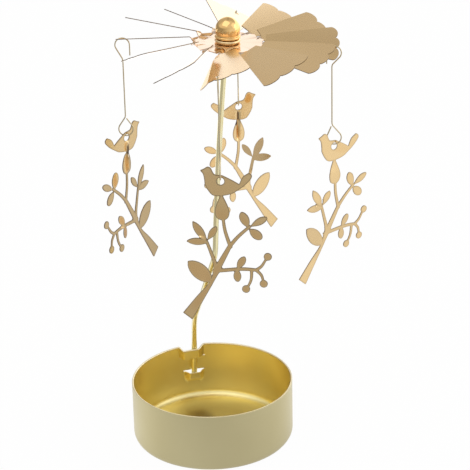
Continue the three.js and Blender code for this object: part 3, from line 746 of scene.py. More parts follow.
class CAROUSEL_OT_rotor(bpy.types.Operator):
    """Make the rotor of twelve twisted, lobed blades from one sheet"""

    bl_idname = "carousel.rotor"
    bl_label = "Rotor"

    def execute(self, context):
        sizes, colours = context.scene.carousel_sizes, context.scene.carousel_colours
        # Rolled brass sheet under clear lacquer: satin, slightly waved by bending.
        finish = metal("lacquered rolled brass", colours.rotor, wave=(14, 0.02), lacquer=1)
        # The shears leave the cut edges bare and rough, so they are darker than the faces.
        edge = metal("sheared brass edge", colours.cut_edge)
        # Where the blade was folded by hand the lacquer is rubbed and the brass below has darkened to gold.
        worn = metal("worn folded brass", colours.fold)
        # The pressed star in the middle is bright and smooth, so the hub is mirrored in it; its pale pinkish
        # colour is a painted highlight.
        bright = metal("pressed star painted highlight", colours.star, wave=(14, 0.02))
        vertices, faces, folded = rotor_surface(sizes)
        centre, tilt = rotor_place()
        rotor = new_object("rotor_sheet", [centre + tilt @ v for v in vertices], faces, finish)
        thicken(rotor, sizes.sheet, 0, rim=edge)
        star_reach = sizes.disc_radius / MM + TAB + STAR_MARGIN
        star = [
            index
            for index, face in enumerate(faces)
            if all(math.hypot(*vertices[i][:2]) < star_reach for i in face)
        ]
        for look, places in ((worn, folded), (bright, star)):
            rotor.data.materials.append(look)
            for face in places:
                rotor.data.polygons[face].material_index = len(rotor.data.materials) - 1
        hooks = []
        for blade in range(0, BLADES, BLADES // len(SIDES)):
            turn = tilt @ turn_about("z", ROTOR_TURN + PITCH * blade)
            x, y, _ = polar(HOOK_FROM_AXIS, HOOK_ANGLE - BLADE_BENDS[blade][0])
            hole = bent(blade, x, y)
            upright = np.cross(bent(blade, x + 0.1, y) - hole, bent(blade, x, y + 0.1) - hole)
            hooks.append((centre + turn @ hole, turn @ upright / np.linalg.norm(upright), HOOK_RADIUS))
        drill(rotor, hooks)
        finish_piece(rotor, "rotor", ["rotor"])
        return {"FINISHED"}


# Hub, as profiles of radius and height above the rotor's disc. A bead or lip is its radius and its height

SPIGOT = 3.5
SPIGOT_TOP = 3.4
HUB_BORE = 2.3
SEAT = 0.3
BEAD_FOOT = 0.45
COLLAR_BEAD = (5, 1.2)
CAP_BEAD = (5, 1.1)
RIVET_LIP = (4.4, 0.6)
CAP_GROOVE = (4.5, 0.45)
GROOVE_HOLLOW = 0.1
CAP_RADIUS = 4.8
DOME_CENTRE = 5.3
WELD_REACH = 0.001


def bead(radius, foot, top):
    """The half-round edge of a bead."""
    reach = (top - foot) / 2
    turns = np.linspace(-math.pi / 2, math.pi / 2, 13)
    return [(radius - reach + reach * math.cos(t), (foot + top) / 2 + reach * math.sin(t)) for t in turns]


def dome(radius, steps=20):
    """A quarter round from the dome's foot up to its top."""
    turns = np.linspace(0, math.pi / 2, steps + 1)[:-1]
    round_part = [(radius * math.cos(t), DOME_CENTRE + radius * math.sin(t)) for t in turns]
    return [*round_part, (0, DOME_CENTRE + radius)]


def hub_profiles():
    """The closed profiles of the collar, with its rivet lip and spigot, and of the cap."""
    lip_foot = -BEAD_FOOT - RIVET_LIP[1]
    bead_top = BEAD_FOOT + COLLAR_BEAD[1]
    collar = [(HUB_BORE, lip_foot), *bead(RIVET_LIP[0], lip_foot, -BEAD_FOOT)]
    collar += [(SPIGOT, -BEAD_FOOT), (SPIGOT, BEAD_FOOT), *bead(COLLAR_BEAD[0], BEAD_FOOT, bead_top)]
    collar += [(SPIGOT, bead_top), (SPIGOT, SPIGOT_TOP), (HUB_BORE, SPIGOT_TOP), (HUB_BORE, lip_foot)]
    cap_foot = bead_top + SEAT
    cap_bead_top = cap_foot + CAP_BEAD[1]
    bore = SPIGOT + SEAT
    groove, rise = CAP_GROOVE
    waist = bezier(
        (groove + GROOVE_HOLLOW, cap_bead_top),
        (groove - GROOVE_HOLLOW, cap_bead_top + rise),
        (CAP_RADIUS, cap_bead_top + 2 * rise),
        8,
    )
    cap = [(bore, cap_foot), *bead(CAP_BEAD[0], cap_foot, cap_bead_top), *[tuple(p) for p in waist]]
    cap += dome(CAP_RADIUS) + dome(bore)[::-1] + [(bore, cap_foot)]
    return collar, cap


class CAROUSEL_OT_hub(bpy.types.Operator):
    """Make the hub: the collar that holds the rotor, and the domed cap"""

    bl_idname = "carousel.hub"
    bl_label = "Hub"

    def execute(self, context):
        colours = context.scene.carousel_colours
        # Turned brass, polished: sharp bands of light and dark run round it.
        finish = metal("polished turned brass", colours.hub)
        # The collar is turned from a paler brass and polished less.
        collar_finish = metal("turned pale brass", colours.collar)
        collar, cap = hub_profiles()
        centre, tilt = rotor_place()
        for name, profile, node, polish in (
            ("hub_collar_turned", collar, "hub_collar", collar_finish),
            ("hub_cap_turned", cap, "hub_cap", finish),
        ):
            vertices, faces = turned(profile, 96)
            piece = new_object(name, [centre + tilt @ np.array(v) for v in vertices], faces, polish)
            join = piece.modifiers.new("Join", "WELD")
            join.merge_threshold = WELD_REACH * MM
            finish_piece(piece, "rotor", [node], sharp=50)
        for slot in frame["nodes"]["pivot_socket"].material_slots:
            slot.material = finish
        return {"FINISHED"}


# Hangers: each wire lies in the upright plane through its loop's arc, with the joint at that arc's centre

HANGER_LENGTH = 40
FREE_END = 4.2
# The long wire starts this far past a loop, and in so many steps
WIRE_GAP = 0.6
WIRE_STEPS = 24
# Each hanger was bent by hand: half width and height of its upper loop, the same of its lower loop, and how
# far its long wire stands outwards of the loops' middles at the top and at the bottom
LOOPS = {
    "right": (2.8, 7.6, 2.8, 8.1, -0.8, -0.8),
    "back": (2.8, 8.6, 2.8, 7.8, 0, 0),
    "left": (2.8, 8.6, 2.8, 7.8, 0, 0),
    "front": (2.8, 8.6, 2.8, 7.8, 0, 0),
}


def loop_line(half_width, height, shift, closed):
    """One loop in its plane, from its free end over its arc to its pinch, where a closed one's end is too."""
    lean = math.asin(half_width / (height - half_width))
    start = -math.pi / 2 - (lean if closed else 0)
    turns = np.linspace(start, math.pi / 2 + lean, 28)
    arc = [(half_width * math.sin(t), half_width * math.cos(t)) for t in turns]
    pinch = np.array([shift, half_width - height])

    def towards_pinch(point, shares):
        return [tuple(point + (pinch - point) * share) for share in shares]

    if closed:
        ends = towards_pinch(np.array(arc[0]), (0.82, 0.6, 0.3))
    else:
        ends = [(-half_width, z) for z in np.linspace(-FREE_END, 0, 5)[:-1]]
    return ends + arc + towards_pinch(np.array(arc[-1]), (0.35, 0.7, 0.92))


class CAROUSEL_OT_hangers(bpy.types.Operator):
    """Make the four wire hangers with an open loop at each end"""

    bl_idname = "carousel.hangers"
    bl_label = "Hangers"

    def execute(self, context):
        sizes, colours = context.scene.carousel_sizes, context.scene.carousel_colours
        # Fine plated steel wire, bright: pale, with a thin light line along it.
        finish = metal("plated spring wire", colours.wire)
        radius = sizes.wire_radius / MM
        for side in SIDES:
            centre, axis = joint(f"hanger_{side}_swing")
            outward = np.array([-axis[1], axis[0], 0])
            upper_half, upper_height, lower_half, lower_height, shift, lower_shift = LOOPS[side]
            upper = loop_line(upper_half, upper_height, shift, False)
            top, bottom = upper_half, upper_half - HANGER_LENGTH
            lower = loop_line(lower_half, lower_height, lower_shift, True)
            lower = [(x, bottom + lower_half - z) for x, z in lower]
            wire_ends = top - upper_height - WIRE_GAP, bottom + lower_height + WIRE_GAP
            wire = list(zip(np.linspace(shift, lower_shift, WIRE_STEPS), np.linspace(*wire_ends, WIRE_STEPS)))
            line = upper + wire + lower[::-1]
            points = [centre + outward * x + np.array([0, 0, z]) for x, z in line]
            sideways = np.cross(outward, (0, 0, 1))
            vertices, faces = rod(points, lambda i: (radius, radius), sideways, 14)
            wire_piece = new_object(f"hanger_wire_{side}", vertices, faces, finish)
            finish_piece(wire_piece, f"hanger_{side}", [f"hanger_{side}"], sharp=60)
        return {"FINISHED"}


# Charms: outlines in shares of the charm's drop, x towards the bird's tail and y up, from the hole's centre

BIRD_SHARES = (
    (
        (-0.134, 0.073),
        (-0.108, 0.085),
        (-0.084, 0.099),
        (-0.062, 0.09),
        (-0.048, 0.06),
        (-0.034, 0.045),
        (0.013, 0.041),
    ),
    ((0.013, 0.041), (0.078, 0.008), (0.122, -0.018)),
    ((0.122, -0.018), (0.146, 0.032), (0.187, 0.062)),
    ((0.187, 0.062), (0.206, 0.046), (0.201, 0.02), (0.16, -0.025), (0.118, -0.058)),
    ((0.118, -0.058), (0.076, -0.085), (0.001, -0.103), (-0.052, -0.099), (-0.084, -0.064), (-0.104, -0.025)),
    ((-0.104, -0.025), (-0.107, 0.014), (-0.114, 0.049), (-0.134, 0.073)),
)
BUD_SHARES = (
    ((0.003, -0.08), (0.041, -0.162), (0.055, -0.215), (0.043, -0.256), (0.014, -0.276)),
    ((0.014, -0.276), (-0.026, -0.262), (-0.041, -0.227), (-0.034, -0.173), (0.003, -0.08)),
)
TRUNK_SHARES = (
    ((-0.055, -0.585), (-0.064, -0.644), (-0.096, -0.728), (-0.177, -0.824), (-0.275, -0.95)),
    ((-0.275, -0.95), (-0.212, -1)),
    ((-0.212, -1), (-0.153, -0.888), (-0.086, -0.765), (-0.036, -0.671), (0, -0.615)),
    ((0, -0.615), (-0.055, -0.585)),
)
# Each twig is a line of points, with its width at the start and at the end
TWIG_SHARES = (
    (((0.012, -0.268), (0.021, -0.342), (0.04, -0.413), (0.056, -0.46)), 0.02, 0.026),
    (((0.185, -0.313), (0.111, -0.383), (0.053, -0.453)), 0.02, 0.026),
    (((0.053, -0.453), (0.016, -0.523), (-0.023, -0.597), (-0.045, -0.64)), 0.028, 0.048),
    (((-0.1, -0.43), (-0.071, -0.517), (-0.05, -0.584), (-0.045, -0.64)), 0.02, 0.03),
    (((-0.02, -0.635), (0.098, -0.621), (0.165, -0.619), (0.228, -0.624)), 0.026, 0.022),
    (((0.22, -0.624), (0.257, -0.595), (0.287, -0.545)), 0.022, 0.016),
    (((0.192, -0.62), (0.187, -0.694), (0.163, -0.75)), 0.022, 0.016),
    (((0.222, -0.624), (0.255, -0.659), (0.268, -0.705)), 0.022, 0.016),
)
# Each leaf is its stalk end, its tip, its width and how far along it is widest
LEAF_SHARES = (
    ((0.178, -0.325), (0.131, -0.211), 0.062, 0.6),
    ((0.185, -0.315), (0.306, -0.242), 0.05, 0.6),
    ((0.178, -0.328), (0.262, -0.398), 0.064, 0.62),
    ((-0.1, -0.43), (-0.193, -0.282), 0.056, 0.55),
    ((-0.098, -0.42), (-0.03, -0.316), 0.046, 0.6),
    ((-0.095, -0.43), (-0.239, -0.428), 0.055, 0.5),
    ((0.094, -0.622), (0.15, -0.528), 0.051, 0.6),
    ((0.094, -0.615), (0.098, -0.713), 0.052, 0.6),
    ((-0.078, -0.716), (-0.233, -0.57), 0.106, 0.5),
)
BERRY_SHARES = ((0.3, -0.525), (0.152, -0.763), (0.27, -0.721))
BERRY_RADIUS_SHARE = 0.027
# A leaf's swelling is a half wave rounded by a power, and it has a stalk and a tip of this share of its width
LEAF_POWER = 0.8
LEAF_THINNEST = 0.1
LEAF_TIP = 0.96
CHARM_HOLE = 1.45
# The field is worked out in a box, in shares of the drop, on cells of this size in millimetres
CHARM_BOX = ((-0.3, 0.34), (-1.02, 0.12))
CHARM_CELL = 0.4
# How each charm hangs, in degrees: where its tail points, how far the tail sags, how far its twig is turned
# on, how far the bird leans and the twig leans back. Then how much longer its twig was pulled, and how far in
# millimetres the twig steps out of the bird's plane at the neck
CHARM_POSES = {
    "right": (33.3, 3.5, 3.5, -3, 3.6, 0.97, -0.6),
    "back": (198.2, 2, 13.6, -3, 6.2, 1, -0.4),
    "left": (228.2, 3.1, 10.5, -3, 3.8, 1.03, -0.5),
    "front": (-6.6, -0.1, -1, -2, 2, 1.01, 0),
}
# The charms' holes sit this much higher on their loops than the joints, in millimetres, so they swivel freely
HANG_RISE = 0.1
# The twig is turned on between two heights of the neck and leans from another, in shares of the drop. Its pull
# sets in over some millimetres below that
TWIG_TURN = (-0.245, -0.105)
TWIG_LEAN_FROM = -0.18
PULL_START = 4
# Leaves that were twisted about their own length in handling, by their place in the list of leaves, in
# degrees. The twist sets in over a share of the leaf's length, on places within shares of its width and length
LEAF_TWISTS = {
    "right": {3: 12, 4: 15, 8: -8},
    "back": {6: 15},
    "left": {0: 8, 6: 8, 7: 10},
    "front": {5: 12, 8: -6},
}
LEAF_STALK = 0.3
LEAF_REACH = (0.62, 1.1)
# The back charm's sprig was turned on, in degrees, about its stalk, which two places on it give. The turn is
# between the depths of the sprig's top and foot, and on one side of a place, all in shares of the drop
SPRIG_TURNS = {"back": 25}
SPRIG_STALK = ((-0.071, -0.517), (-0.1, -0.43))
SPRIG_TOP = (0.275, 0.28)
SPRIG_FOOT = (0.49, 0.56)
SPRIG_SIDE = -0.02
# A crease runs down from the hole through the neck and the bud: its depth and half width in millimetres, and
# in shares of the drop where it sets in, where it ends and over what depth it fades
CREASES = {"right": 0, "back": -0.8, "left": 1, "front": 0}
CREASE_WIDTH = 0.6
CREASE_START = (0.02, 0.05)
CREASE_END = (0.014, -0.27)
CREASE_FADE = 0.04
# How much browner each charm's face is made along its etched rim, over this many millimetres
RIM_TONES = {"right": 0.4, "back": 0.45, "left": 0.6, "front": 0.75}
RIM_TONE_WIDTH = 0.55
# Painted reflections on the charms: browner (above zero) and yellower patches, their middles and half sizes in
# shares of the drop, and their strengths. Their edges fade between these shares of their half sizes
PATCH_EDGE = (0.75, 1.1)
REFLECTION_PATCHES = {
    "right": (((-0.02, -0.6), (0.3, 0.25), 0.12), ((0.07, -0.01), (0.08, 0.05), -0.12)),
    "back": (
        ((-0.072, 0.055), (0.03, 0.04), -0.9),
        ((0.012, -0.2), (0.018, 0.06), -0.8),
        ((0.006, -0.07), (0.01, 0.04), 1),
        ((0.022, -0.125), (0.012, 0.022), 1),
        ((-0.13, -0.4), (0.17, 0.15), 0.42),
    ),
    "left": (
        ((0.006, -0.09), (0.022, 0.07), -0.8),
        ((0.016, -0.19), (0.013, 0.08), -0.8),
        ((0.002, -0.09), (0.01, 0.06), 1),
        ((-0.004, -0.2), (0.007, 0.07), 0.6),
        ((0.155, -0.265), (0.02, 0.06), -0.7),
        ((0.098, -0.67), (0.02, 0.05), -0.9),
        ((0.125, -0.575), (0.03, 0.05), -0.6),
    ),
    "front": (((0, -0.6), (0.35, 0.45), -0.3), ((0, -0.02), (0.2, 0.1), -0.12)),
}


def distance_to_line(x, y, start, end):
    """How far each place is from a straight line, and the share of the line at which it is nearest."""
    dx, dy = end[0] - start[0], end[1] - start[1]
    t = np.clip(((x - start[0]) * dx + (y - start[1]) * dy) / (dx * dx + dy * dy), 0, 1)
    return np.hypot(x - start[0] - t * dx, y - start[1] - t * dy), t


def outline_distance(x, y, corners):
    """Distance from each place to a closed outline, negative inside it."""
    nearest = np.full(x.shape, np.inf)
    inside = np.zeros(x.shape, bool)
    for start, end in zip(corners, np.roll(corners, -1, axis=0)):
        if np.array_equal(start, end):
            continue
        nearest = np.minimum(nearest, distance_to_line(x, y, start, end)[0])
        (x0, y0), (x1, y1) = start, end
        if y0 != y1:
            inside ^= ((y0 > y) != (y1 > y)) & (x < (x1 - x0) * (y - y0) / (y1 - y0) + x0)
    return np.where(inside, -nearest, nearest)


def swollen_distance(x, y, line, half_widths):
    """Distance from each place to a line that has a half width at each of its points."""
    nearest = np.full(x.shape, np.inf)
    for i in range(len(line) - 1):
        distance, t = distance_to_line(x, y, line[i], line[i + 1])
        nearest = np.minimum(nearest, distance - half_widths[i] - (half_widths[i + 1] - half_widths[i]) * t)
    return nearest


def charm_distance(x, y, drop):
    """Distance from each place to the charm's outline, negative in its metal."""
    fields = []
    for runs in (BIRD_SHARES, BUD_SHARES, TRUNK_SHARES):
        corners = np.vstack([smooth_line(np.array(run) * drop, 5)[:-1] for run in runs])
        fields.append(outline_distance(x, y, corners))
    for points, start, end in TWIG_SHARES:
        line = smooth_line(np.array(points) * drop, 4)
        fields.append(swollen_distance(x, y, line, np.linspace(start, end, len(line)) * drop / 2))
    for root, tip, width, widest in LEAF_SHARES:
        root, tip = np.array(root), np.array(tip)
        shares = np.linspace(0, 1, 13)
        swell = np.sin(math.pi * shares ** (math.log(0.5) / math.log(widest))) ** LEAF_POWER
        line = np.array([root + (tip - root) * LEAF_TIP * share for share in shares]) * drop
        fields.append(swollen_distance(x, y, line, np.maximum(swell, LEAF_THINNEST) * width * drop / 2))
    for bx, by in BERRY_SHARES:
        fields.append(np.hypot(x - bx * drop, y - by * drop) - BERRY_RADIUS_SHARE * drop)
    return np.maximum(np.minimum.reduce(fields), CHARM_HOLE - np.hypot(x, y))


def sheet_from_field(field, xs, ys):
    """Flat points and faces of where a field on a grid is below zero, cut clean along its zero line."""
    points, index, faces = [], {}, []

    def corner(i, j):
        key = (i, j)
        if key not in index:
            index[key] = len(points)
            points.append((xs[i], ys[j]))
        return index[key]

    def crossing(i0, j0, i1, j1):
        key = (min((i0, j0), (i1, j1)), max((i0, j0), (i1, j1)))
        if key not in index:
            a, b = field[i0, j0], field[i1, j1]
            t = min(max(a / (a - b), 0.02), 0.98)
            index[key] = len(points)
            points.append((xs[i0] + (xs[i1] - xs[i0]) * t, ys[j0] + (ys[j1] - ys[j0]) * t))
        return index[key]

    inside = field < 0
    for i, j in zip(*np.nonzero(inside[:-1, :-1] | inside[1:, :-1] | inside[:-1, 1:] | inside[1:, 1:])):
        ring = [(i, j), (i + 1, j), (i + 1, j + 1), (i, j + 1)]
        face = []
        for (a, b), (c, d) in zip(ring, ring[1:] + ring[:1]):
            if inside[a, b]:
                face.append(corner(a, b))
            if inside[a, b] != inside[c, d]:
                face.append(crossing(a, b, c, d))
        if len(face) > 2:
            faces.append(tuple(face))
    return np.array(points), faces


def charm_surface(drop):
    """The charm's flat points and faces."""
    xs, ys = (np.arange(low * drop, high * drop, CHARM_CELL) for low, high in CHARM_BOX)
    x, y = np.meshgrid(xs, ys, indexing="ij")
    return sheet_from_field(charm_distance(x, y, drop), xs, ys)


def line_in_sheet(line, x, y):
    """The direction and length of a line in the sheet, and how far each place is along it and across it."""
    start, end = line
    size = np.linalg.norm(end - start)
    along = (end - start) / size
    u = (x - start[0]) * along[0] + (y - start[1]) * along[1]
    v = (y - start[1]) * along[0] - (x - start[0]) * along[1]
    return along, size, u, v


def turn_out(x, y, out, along, v, angles):
    """Turns places out of the sheet by their own angles, about a line that they are v away from."""
    shrunk = v * (1 - np.cos(angles))
    return x + along[1] * shrunk, y - along[0] * shrunk, out + v * np.sin(angles)


def charm_form(flat, side, drop):
    """The charm's flat points in space about its hole, with twisted leaves, the crease and the bent neck."""
    _, _, twig_turn, lean, twig_lean, pull, neck_step = CHARM_POSES[side]
    x, y = flat.T
    out = np.zeros(len(flat))
    for leaf, degrees in LEAF_TWISTS[side].items():
        root, tip, width, _ = LEAF_SHARES[leaf]
        along, size, u, v = line_in_sheet(np.array((root, tip)) * drop, x, y)
        near = (np.abs(v) < width * drop * LEAF_REACH[0]) & (u < size * LEAF_REACH[1])
        angles = np.radians(degrees) * smoothstep(u, 0, LEAF_STALK * size) * near
        x, y, out = turn_out(x, y, out, along, v, angles)
    if side in SPRIG_TURNS:
        along, _, _, v = line_in_sheet(np.array(SPRIG_STALK) * drop, x, y)
        depth = -y / drop
        near = smoothstep(depth, *SPRIG_TOP) * (1 - smoothstep(depth, *SPRIG_FOOT)) * (x < SPRIG_SIDE * drop)
        x, y, out = turn_out(x, y, out, along, v, np.radians(SPRIG_TURNS[side]) * near)
    depth = -y / drop
    end_x, end_y = CREASE_END
    crease = smoothstep(depth, *CREASE_START) * (1 - smoothstep(depth, -end_y - CREASE_FADE, -end_y))
    out = out + CREASES[side] * crease * np.exp(-(((x - y * end_x / end_y) / CREASE_WIDTH) ** 2))
    below = np.maximum(0, TWIG_LEAN_FROM * drop - y)
    x = x * (1 + (pull - 1) * np.minimum(1, below / PULL_START))
    twig_share = 1 - smoothstep(y, TWIG_TURN[0] * drop, TWIG_TURN[1] * drop)
    y = y - (pull - 1) * below
    angles = np.radians(twig_turn * twig_share)
    backwards = below * math.tan(math.radians(twig_lean)) + neck_step * twig_share
    across = x * np.cos(angles) - out * np.sin(angles)
    local = np.stack([across, x * np.sin(angles) + out * np.cos(angles) + backwards, y], axis=1)
    return local @ turn_about("x", lean).T


def charm_tones(flat, side, drop):
    """How much browner (above zero) or yellower (below zero) the charm is painted at each flat point: painted
    reflections in patches, and a darker band along its rim.
    """
    x, y = flat.T
    tone = np.zeros(len(flat))
    for middle, half, strength in REFLECTION_PATCHES[side]:
        reach = np.hypot((x / drop - middle[0]) / half[0], (y / drop - middle[1]) / half[1])
        share = 1 - smoothstep(reach, *PATCH_EDGE)
        tone = tone * (1 - share) + strength * share
    rim = smoothstep(charm_distance(x, y, drop), -RIM_TONE_WIDTH, 0)
    return tone + np.maximum(RIM_TONES[side] - tone, 0) * rim


class CAROUSEL_OT_charms(bpy.types.Operator):
    """Make the four charms, a bird over a budded twig, as they hang"""

    bl_idname = "carousel.charms"
    bl_label = "Charms"

    def execute(self, context):
        sizes, colours = context.scene.carousel_sizes, context.scene.carousel_colours
        # Etched brass sheet under lacquer: a soft mirror with slight waves, and painted reflections that make
        # it browner or yellower in places.
        finish = metal("lacquered etched brass", colours.charm, wave=(9, 0.01), lacquer=1, toned=True)
        # The etched edge is bare, rough and darker than the faces.
        edge = metal("etched brass edge", colours.cut_edge)
        drop = sizes.charm_drop / MM
        flat, faces = charm_surface(drop)
        for side in SIDES:
            centre, _ = joint(f"charm_{side}_swivel")
            yaw, sag = CHARM_POSES[side][:2]
            hung = turn_about("z", yaw) @ turn_about("y", sag)
            placed = centre + [0, 0, HANG_RISE] + charm_form(flat, side, drop) @ hung.T
            charm = new_object(f"charm_sheet_{side}", placed, faces, finish)
            # The tone paints reflections in patches, and a darker band along the rim.
            set_tones(charm, charm_tones(flat, side, drop))
            thicken(charm, sizes.sheet, 0, rim=edge)
            finish_piece(charm, f"charm_{side}", [f"charm_{side}"])
        return {"FINISHED"}


# Stage

CAMERA_PLACE = (10.774, -718.579, 404.209)
CAMERA_TARGET = (10.77, 0, 89.68)
CAMERA_ROLL = -1.31
CAMERA_LENS = 150.6
CAMERA_SENSOR = 36
# Each lamp: its place and size in millimetres and its power in watts
LAMPS = (("key", (-300, -400, 1300), 1200, 2.9), ("fill", (700, -200, 600), 600, 0.45))
WHITE = (1, 1, 1, 1)
SMOOTH = {"interpolation_type": "SMOOTHSTEP"}
# The studio that the metal mirrors: one side brighter than the other, a backdrop that is brightest at the
# right, a dimmer ceiling with a darker seam along its middle, and a soft box overhead. Ramps and masks run
# over how far a direction points the way that is named before them, and ramps give the levels at their ends
BRIGHT_SIDE = (0.696, -0.597, -0.398)
SIDE_RAMP = {"From Min": -0.2, "From Max": 0.95, "To Min": 0.4, "To Max": 0.95}
BEHIND = (1, 1, 0)
BEHIND_MASK = {"From Min": 0.5, "From Max": 0.68}
BACKDROP_LEVEL = 1.28
BACKDROP_RAMP = {"From Min": -0.1, "From Max": 0.35, "To Min": BACKDROP_LEVEL, "To Max": 1.7}
SEAM_PLACE = 0.06
SEAM_RAMP = {"From Min": 0.02, "From Max": 0.12, "To Min": 0.46, "To Max": 0.62}
OVERHEAD_LEVEL = 0.85
OVERHEAD_MASK = {"From Min": 0.3, "From Max": 0.05}
UPWARDS = (-0.15, 0, 1)
CEILING_MASK = {"From Min": 0.34, "From Max": 0.5}
# The mirrored floor is darker in front of the cup, and further out as bright as the sides and the backdrop.
# Its masks run over metres
FLOOR_REACH = 1500
FLOOR_ROUGHNESS = 0.9
FLOOR_SIDE = (0.848, -0.53, 0)
FLOOR_SIDE_RAMP = {"From Min": 0.4, "From Max": 0.97, "To Min": 0.5, "To Max": 0.95}
FLOOR_BEHIND_MASK = {"From Min": 0.12, "From Max": 0.25}
FLOOR_FRONT = (0.2, -0.98, 0)
FLOOR_FRONT_RAMP = {"From Min": -0.2, "From Max": 1, "To Min": 1.05, "To Max": 0.72}
FLOOR_FAR_MASK = {"From Min": 0.08, "From Max": 0.14}
# The nap of rolled paint: how many of its grains lie along the floor, and their depth in millimetres
NAP_GRAINS = 400
NAP_DEPTH = 0.02
# How much of what the camera sees of the floor is plain white: the rest keeps the shadow
FLOOR_WHITE = 0.97


def floor_paint(base):
    """Matt paint that is white to the camera, with the object's shadow, and the studio's floor to a mirror."""
    paint = bpy.data.materials.new("matt white floor")
    paint.use_nodes = True
    tree = paint.node_tree
    shader = tree.nodes["Principled BSDF"]
    shader.inputs["Base Color"].default_value = (*base, 1)
    shader.inputs["Roughness"].default_value = FLOOR_ROUGHNESS
    shader.inputs["Specular IOR Level"].default_value = 0
    # Rolled paint dries with a fine nap, which softens what light it gives back.
    nap = add_node(tree, "ShaderNodeTexNoise", {"Scale": NAP_GRAINS})
    bump = add_node(tree, "ShaderNodeBump", {"Distance": NAP_DEPTH * MM}, {"Height": nap})
    tree.links.new(output(bump), shader.inputs["Normal"])
    place = add_node(tree, "ShaderNodeNewGeometry").outputs["Position"]
    heading = add_node(tree, "ShaderNodeVectorMath", {}, {0: place}, operation="NORMALIZE")
    side = add_node(tree, "ShaderNodeVectorMath", {1: FLOOR_SIDE}, {0: heading}, operation="DOT_PRODUCT")
    side_level = add_node(tree, "ShaderNodeMapRange", FLOOR_SIDE_RAMP, {"Value": side})
    depth = add_node(tree, "ShaderNodeSeparateXYZ", {}, {"Vector": place}).outputs["Y"]
    behind = add_node(tree, "ShaderNodeMapRange", FLOOR_BEHIND_MASK, {"Value": depth}, **SMOOTH)
    far_level = add_node(tree, "ShaderNodeMix", {"B": BACKDROP_LEVEL}, {"Factor": behind, "A": side_level})
    front = add_node(tree, "ShaderNodeVectorMath", {1: FLOOR_FRONT}, {0: heading}, operation="DOT_PRODUCT")
    near_level = add_node(tree, "ShaderNodeMapRange", FLOOR_FRONT_RAMP, {"Value": front})
    distance = add_node(tree, "ShaderNodeVectorMath", {}, {0: place}, operation="LENGTH")
    far = add_node(tree, "ShaderNodeMapRange", FLOOR_FAR_MASK, {"Value": distance}, **SMOOTH)
    level = add_node(tree, "ShaderNodeMix", {}, {"Factor": far, "A": near_level, "B": far_level})
    mirrored = add_node(tree, "ShaderNodeEmission", {}, {"Strength": level})
    white = add_node(tree, "ShaderNodeEmission", {"Strength": 1})
    rays = add_node(tree, "ShaderNodeLightPath").outputs
    seen = add_node(tree, "ShaderNodeMath", {1: FLOOR_WHITE}, {0: rays["Is Camera Ray"]}, operation="MULTIPLY")
    plain = add_node(tree, "ShaderNodeMixShader", {}, {0: seen, 1: shader, 2: white})
    mix = add_node(tree, "ShaderNodeMixShader", {}, {0: rays["Is Glossy Ray"], 1: plain, 2: mirrored})
    tree.links.new(output(mix), tree.nodes["Material Output"].inputs["Surface"])
    return paint


def studio_world():
    """White to the camera, and a soft studio to everything else."""
    world = bpy.data.worlds.new("studio")
    world.use_nodes = True
    tree = world.node_tree
    heading = add_node(tree, "ShaderNodeTexCoord").outputs["Generated"]
    axes = add_node(tree, "ShaderNodeSeparateXYZ", {}, {"Vector": heading}).outputs
    side = add_node(tree, "ShaderNodeVectorMath", {1: BRIGHT_SIDE}, {0: heading}, operation="DOT_PRODUCT")
    side_level = add_node(tree, "ShaderNodeMapRange", SIDE_RAMP, {"Value": side})
    away = add_node(tree, "ShaderNodeVectorMath", {1: BEHIND}, {0: heading}, operation="DOT_PRODUCT")
    behind = add_node(tree, "ShaderNodeMapRange", BEHIND_MASK, {"Value": away}, **SMOOTH)
    backdrop = add_node(tree, "ShaderNodeMapRange", BACKDROP_RAMP, {"Value": axes["X"]}, **SMOOTH)
    around = add_node(tree, "ShaderNodeMix", {}, {"Factor": behind, "A": side_level, "B": backdrop})
    offset = add_node(tree, "ShaderNodeMath", {1: SEAM_PLACE}, {0: axes["X"]}, operation="SUBTRACT")
    from_seam = add_node(tree, "ShaderNodeMath", {}, {0: offset}, operation="ABSOLUTE")
    ceiling = add_node(tree, "ShaderNodeMapRange", SEAM_RAMP, {"Value": from_seam}, **SMOOTH)
    overhead = add_node(tree, "ShaderNodeMapRange", OVERHEAD_MASK, {"Value": axes["Y"]}, **SMOOTH)
    above = add_node(tree, "ShaderNodeMix", {"B": OVERHEAD_LEVEL}, {"Factor": overhead, "A": ceiling})
    height = add_node(tree, "ShaderNodeVectorMath", {1: UPWARDS}, {0: heading}, operation="DOT_PRODUCT")
    high = add_node(tree, "ShaderNodeMapRange", CEILING_MASK, {"Value": height}, **SMOOTH)
    level = add_node(tree, "ShaderNodeMix", {}, {"Factor": high, "A": around, "B": above})
    light = add_node(tree, "ShaderNodeBackground", {"Color": WHITE}, {"Strength": level})
    white = add_node(tree, "ShaderNodeBackground", {"Color": WHITE, "Strength": 1})
    seen = add_node(tree, "ShaderNodeLightPath").outputs["Is Camera Ray"]
    mix = add_node(tree, "ShaderNodeMixShader", {}, {0: seen, 1: light, 2: white})
    tree.links.new(output(mix), tree.nodes["World Output"].inputs["Surface"])
    return world


def aim(item, place, roll):
    """Sets a lamp or camera in its place, looking at the camera's target with +X level and then rolled."""
    ahead = np.array(CAMERA_TARGET) - np.array(place)
    ahead /= np.linalg.norm(ahead)
    right = np.cross(ahead, (0, 0, 1))
    right /= np.linalg.norm(right)
    up = np.cross(right, ahead)
    c, s = math.cos(math.radians(roll)), math.sin(math.radians(roll))
    columns = (c * right + s * up, c * up - s * right, -ahead)
    item.location = np.array(place) * MM
    item.rotation_euler = Matrix(np.array(columns).T.tolist()).to_euler()
    bpy.context.scene.collection.objects.link(item)
    return item


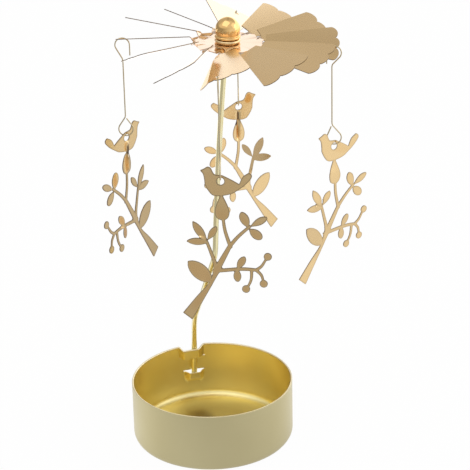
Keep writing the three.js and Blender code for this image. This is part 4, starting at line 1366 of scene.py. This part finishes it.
class CAROUSEL_OT_stage(bpy.types.Operator):
    """Set out the plain floor, the soft lights, the world and the camera"""

    bl_idname = "carousel.stage"
    bl_label = "Stage"

    def execute(self, context):
        scene = context.scene
        reach = FLOOR_REACH
        corners = [(-reach, -reach, 0), (reach, -reach, 0), (reach, reach, 0), (-reach, reach, 0)]
        floor = new_object("floor", corners, [(0, 1, 2, 3)], floor_paint(scene.carousel_colours.floor))
        scene.world = studio_world()
        for name, place, size, power in LAMPS:
            lamp = bpy.data.lights.new(name, "AREA")
            lamp.size = size * MM
            lamp.energy = power
            aim(bpy.data.objects.new(name, lamp), place, 0)
        lens = bpy.data.cameras.new("camera")
        lens.lens = CAMERA_LENS
        lens.sensor_width = CAMERA_SENSOR
        scene.camera = aim(bpy.data.objects.new("camera", lens), CAMERA_PLACE, CAMERA_ROLL)
        scene.view_settings.view_transform = "Standard"
        return {"FINISHED"}


class CAROUSEL_PT_parts(bpy.types.Panel):
    """Lists the carousel's pieces, sizes and colours"""

    bl_label = "Candle Carousel"
    bl_space_type = "VIEW_3D"
    bl_region_type = "UI"
    bl_category = "Carousel"

    def draw(self, context):
        for operator in OPERATORS:
            self.layout.operator(operator.bl_idname)
        for group in (context.scene.carousel_sizes, context.scene.carousel_colours):
            for name in type(group).__annotations__:
                self.layout.prop(group, name)


OPERATORS = (
    CAROUSEL_OT_cup,
    CAROUSEL_OT_stem,
    CAROUSEL_OT_rotor,
    CAROUSEL_OT_hub,
    CAROUSEL_OT_hangers,
    CAROUSEL_OT_charms,
    CAROUSEL_OT_stage,
)
CLASSES = (CarouselSizes, CarouselColours, *OPERATORS, CAROUSEL_PT_parts)


def register():
    for item in CLASSES:
        bpy.utils.register_class(item)
    bpy.types.Scene.carousel_sizes = PointerProperty(type=CarouselSizes)
    bpy.types.Scene.carousel_colours = PointerProperty(type=CarouselColours)


def unregister():
    del bpy.types.Scene.carousel_colours
    del bpy.types.Scene.carousel_sizes
    for item in reversed(CLASSES):
        bpy.utils.unregister_class(item)


def main():
    register()
    bpy.ops.carousel.cup()
    bpy.ops.carousel.stem()
    bpy.ops.carousel.rotor()
    bpy.ops.carousel.hub()
    bpy.ops.carousel.hangers()
    bpy.ops.carousel.charms()
    bpy.ops.carousel.stage()


if __name__ == "__main__":
    main()
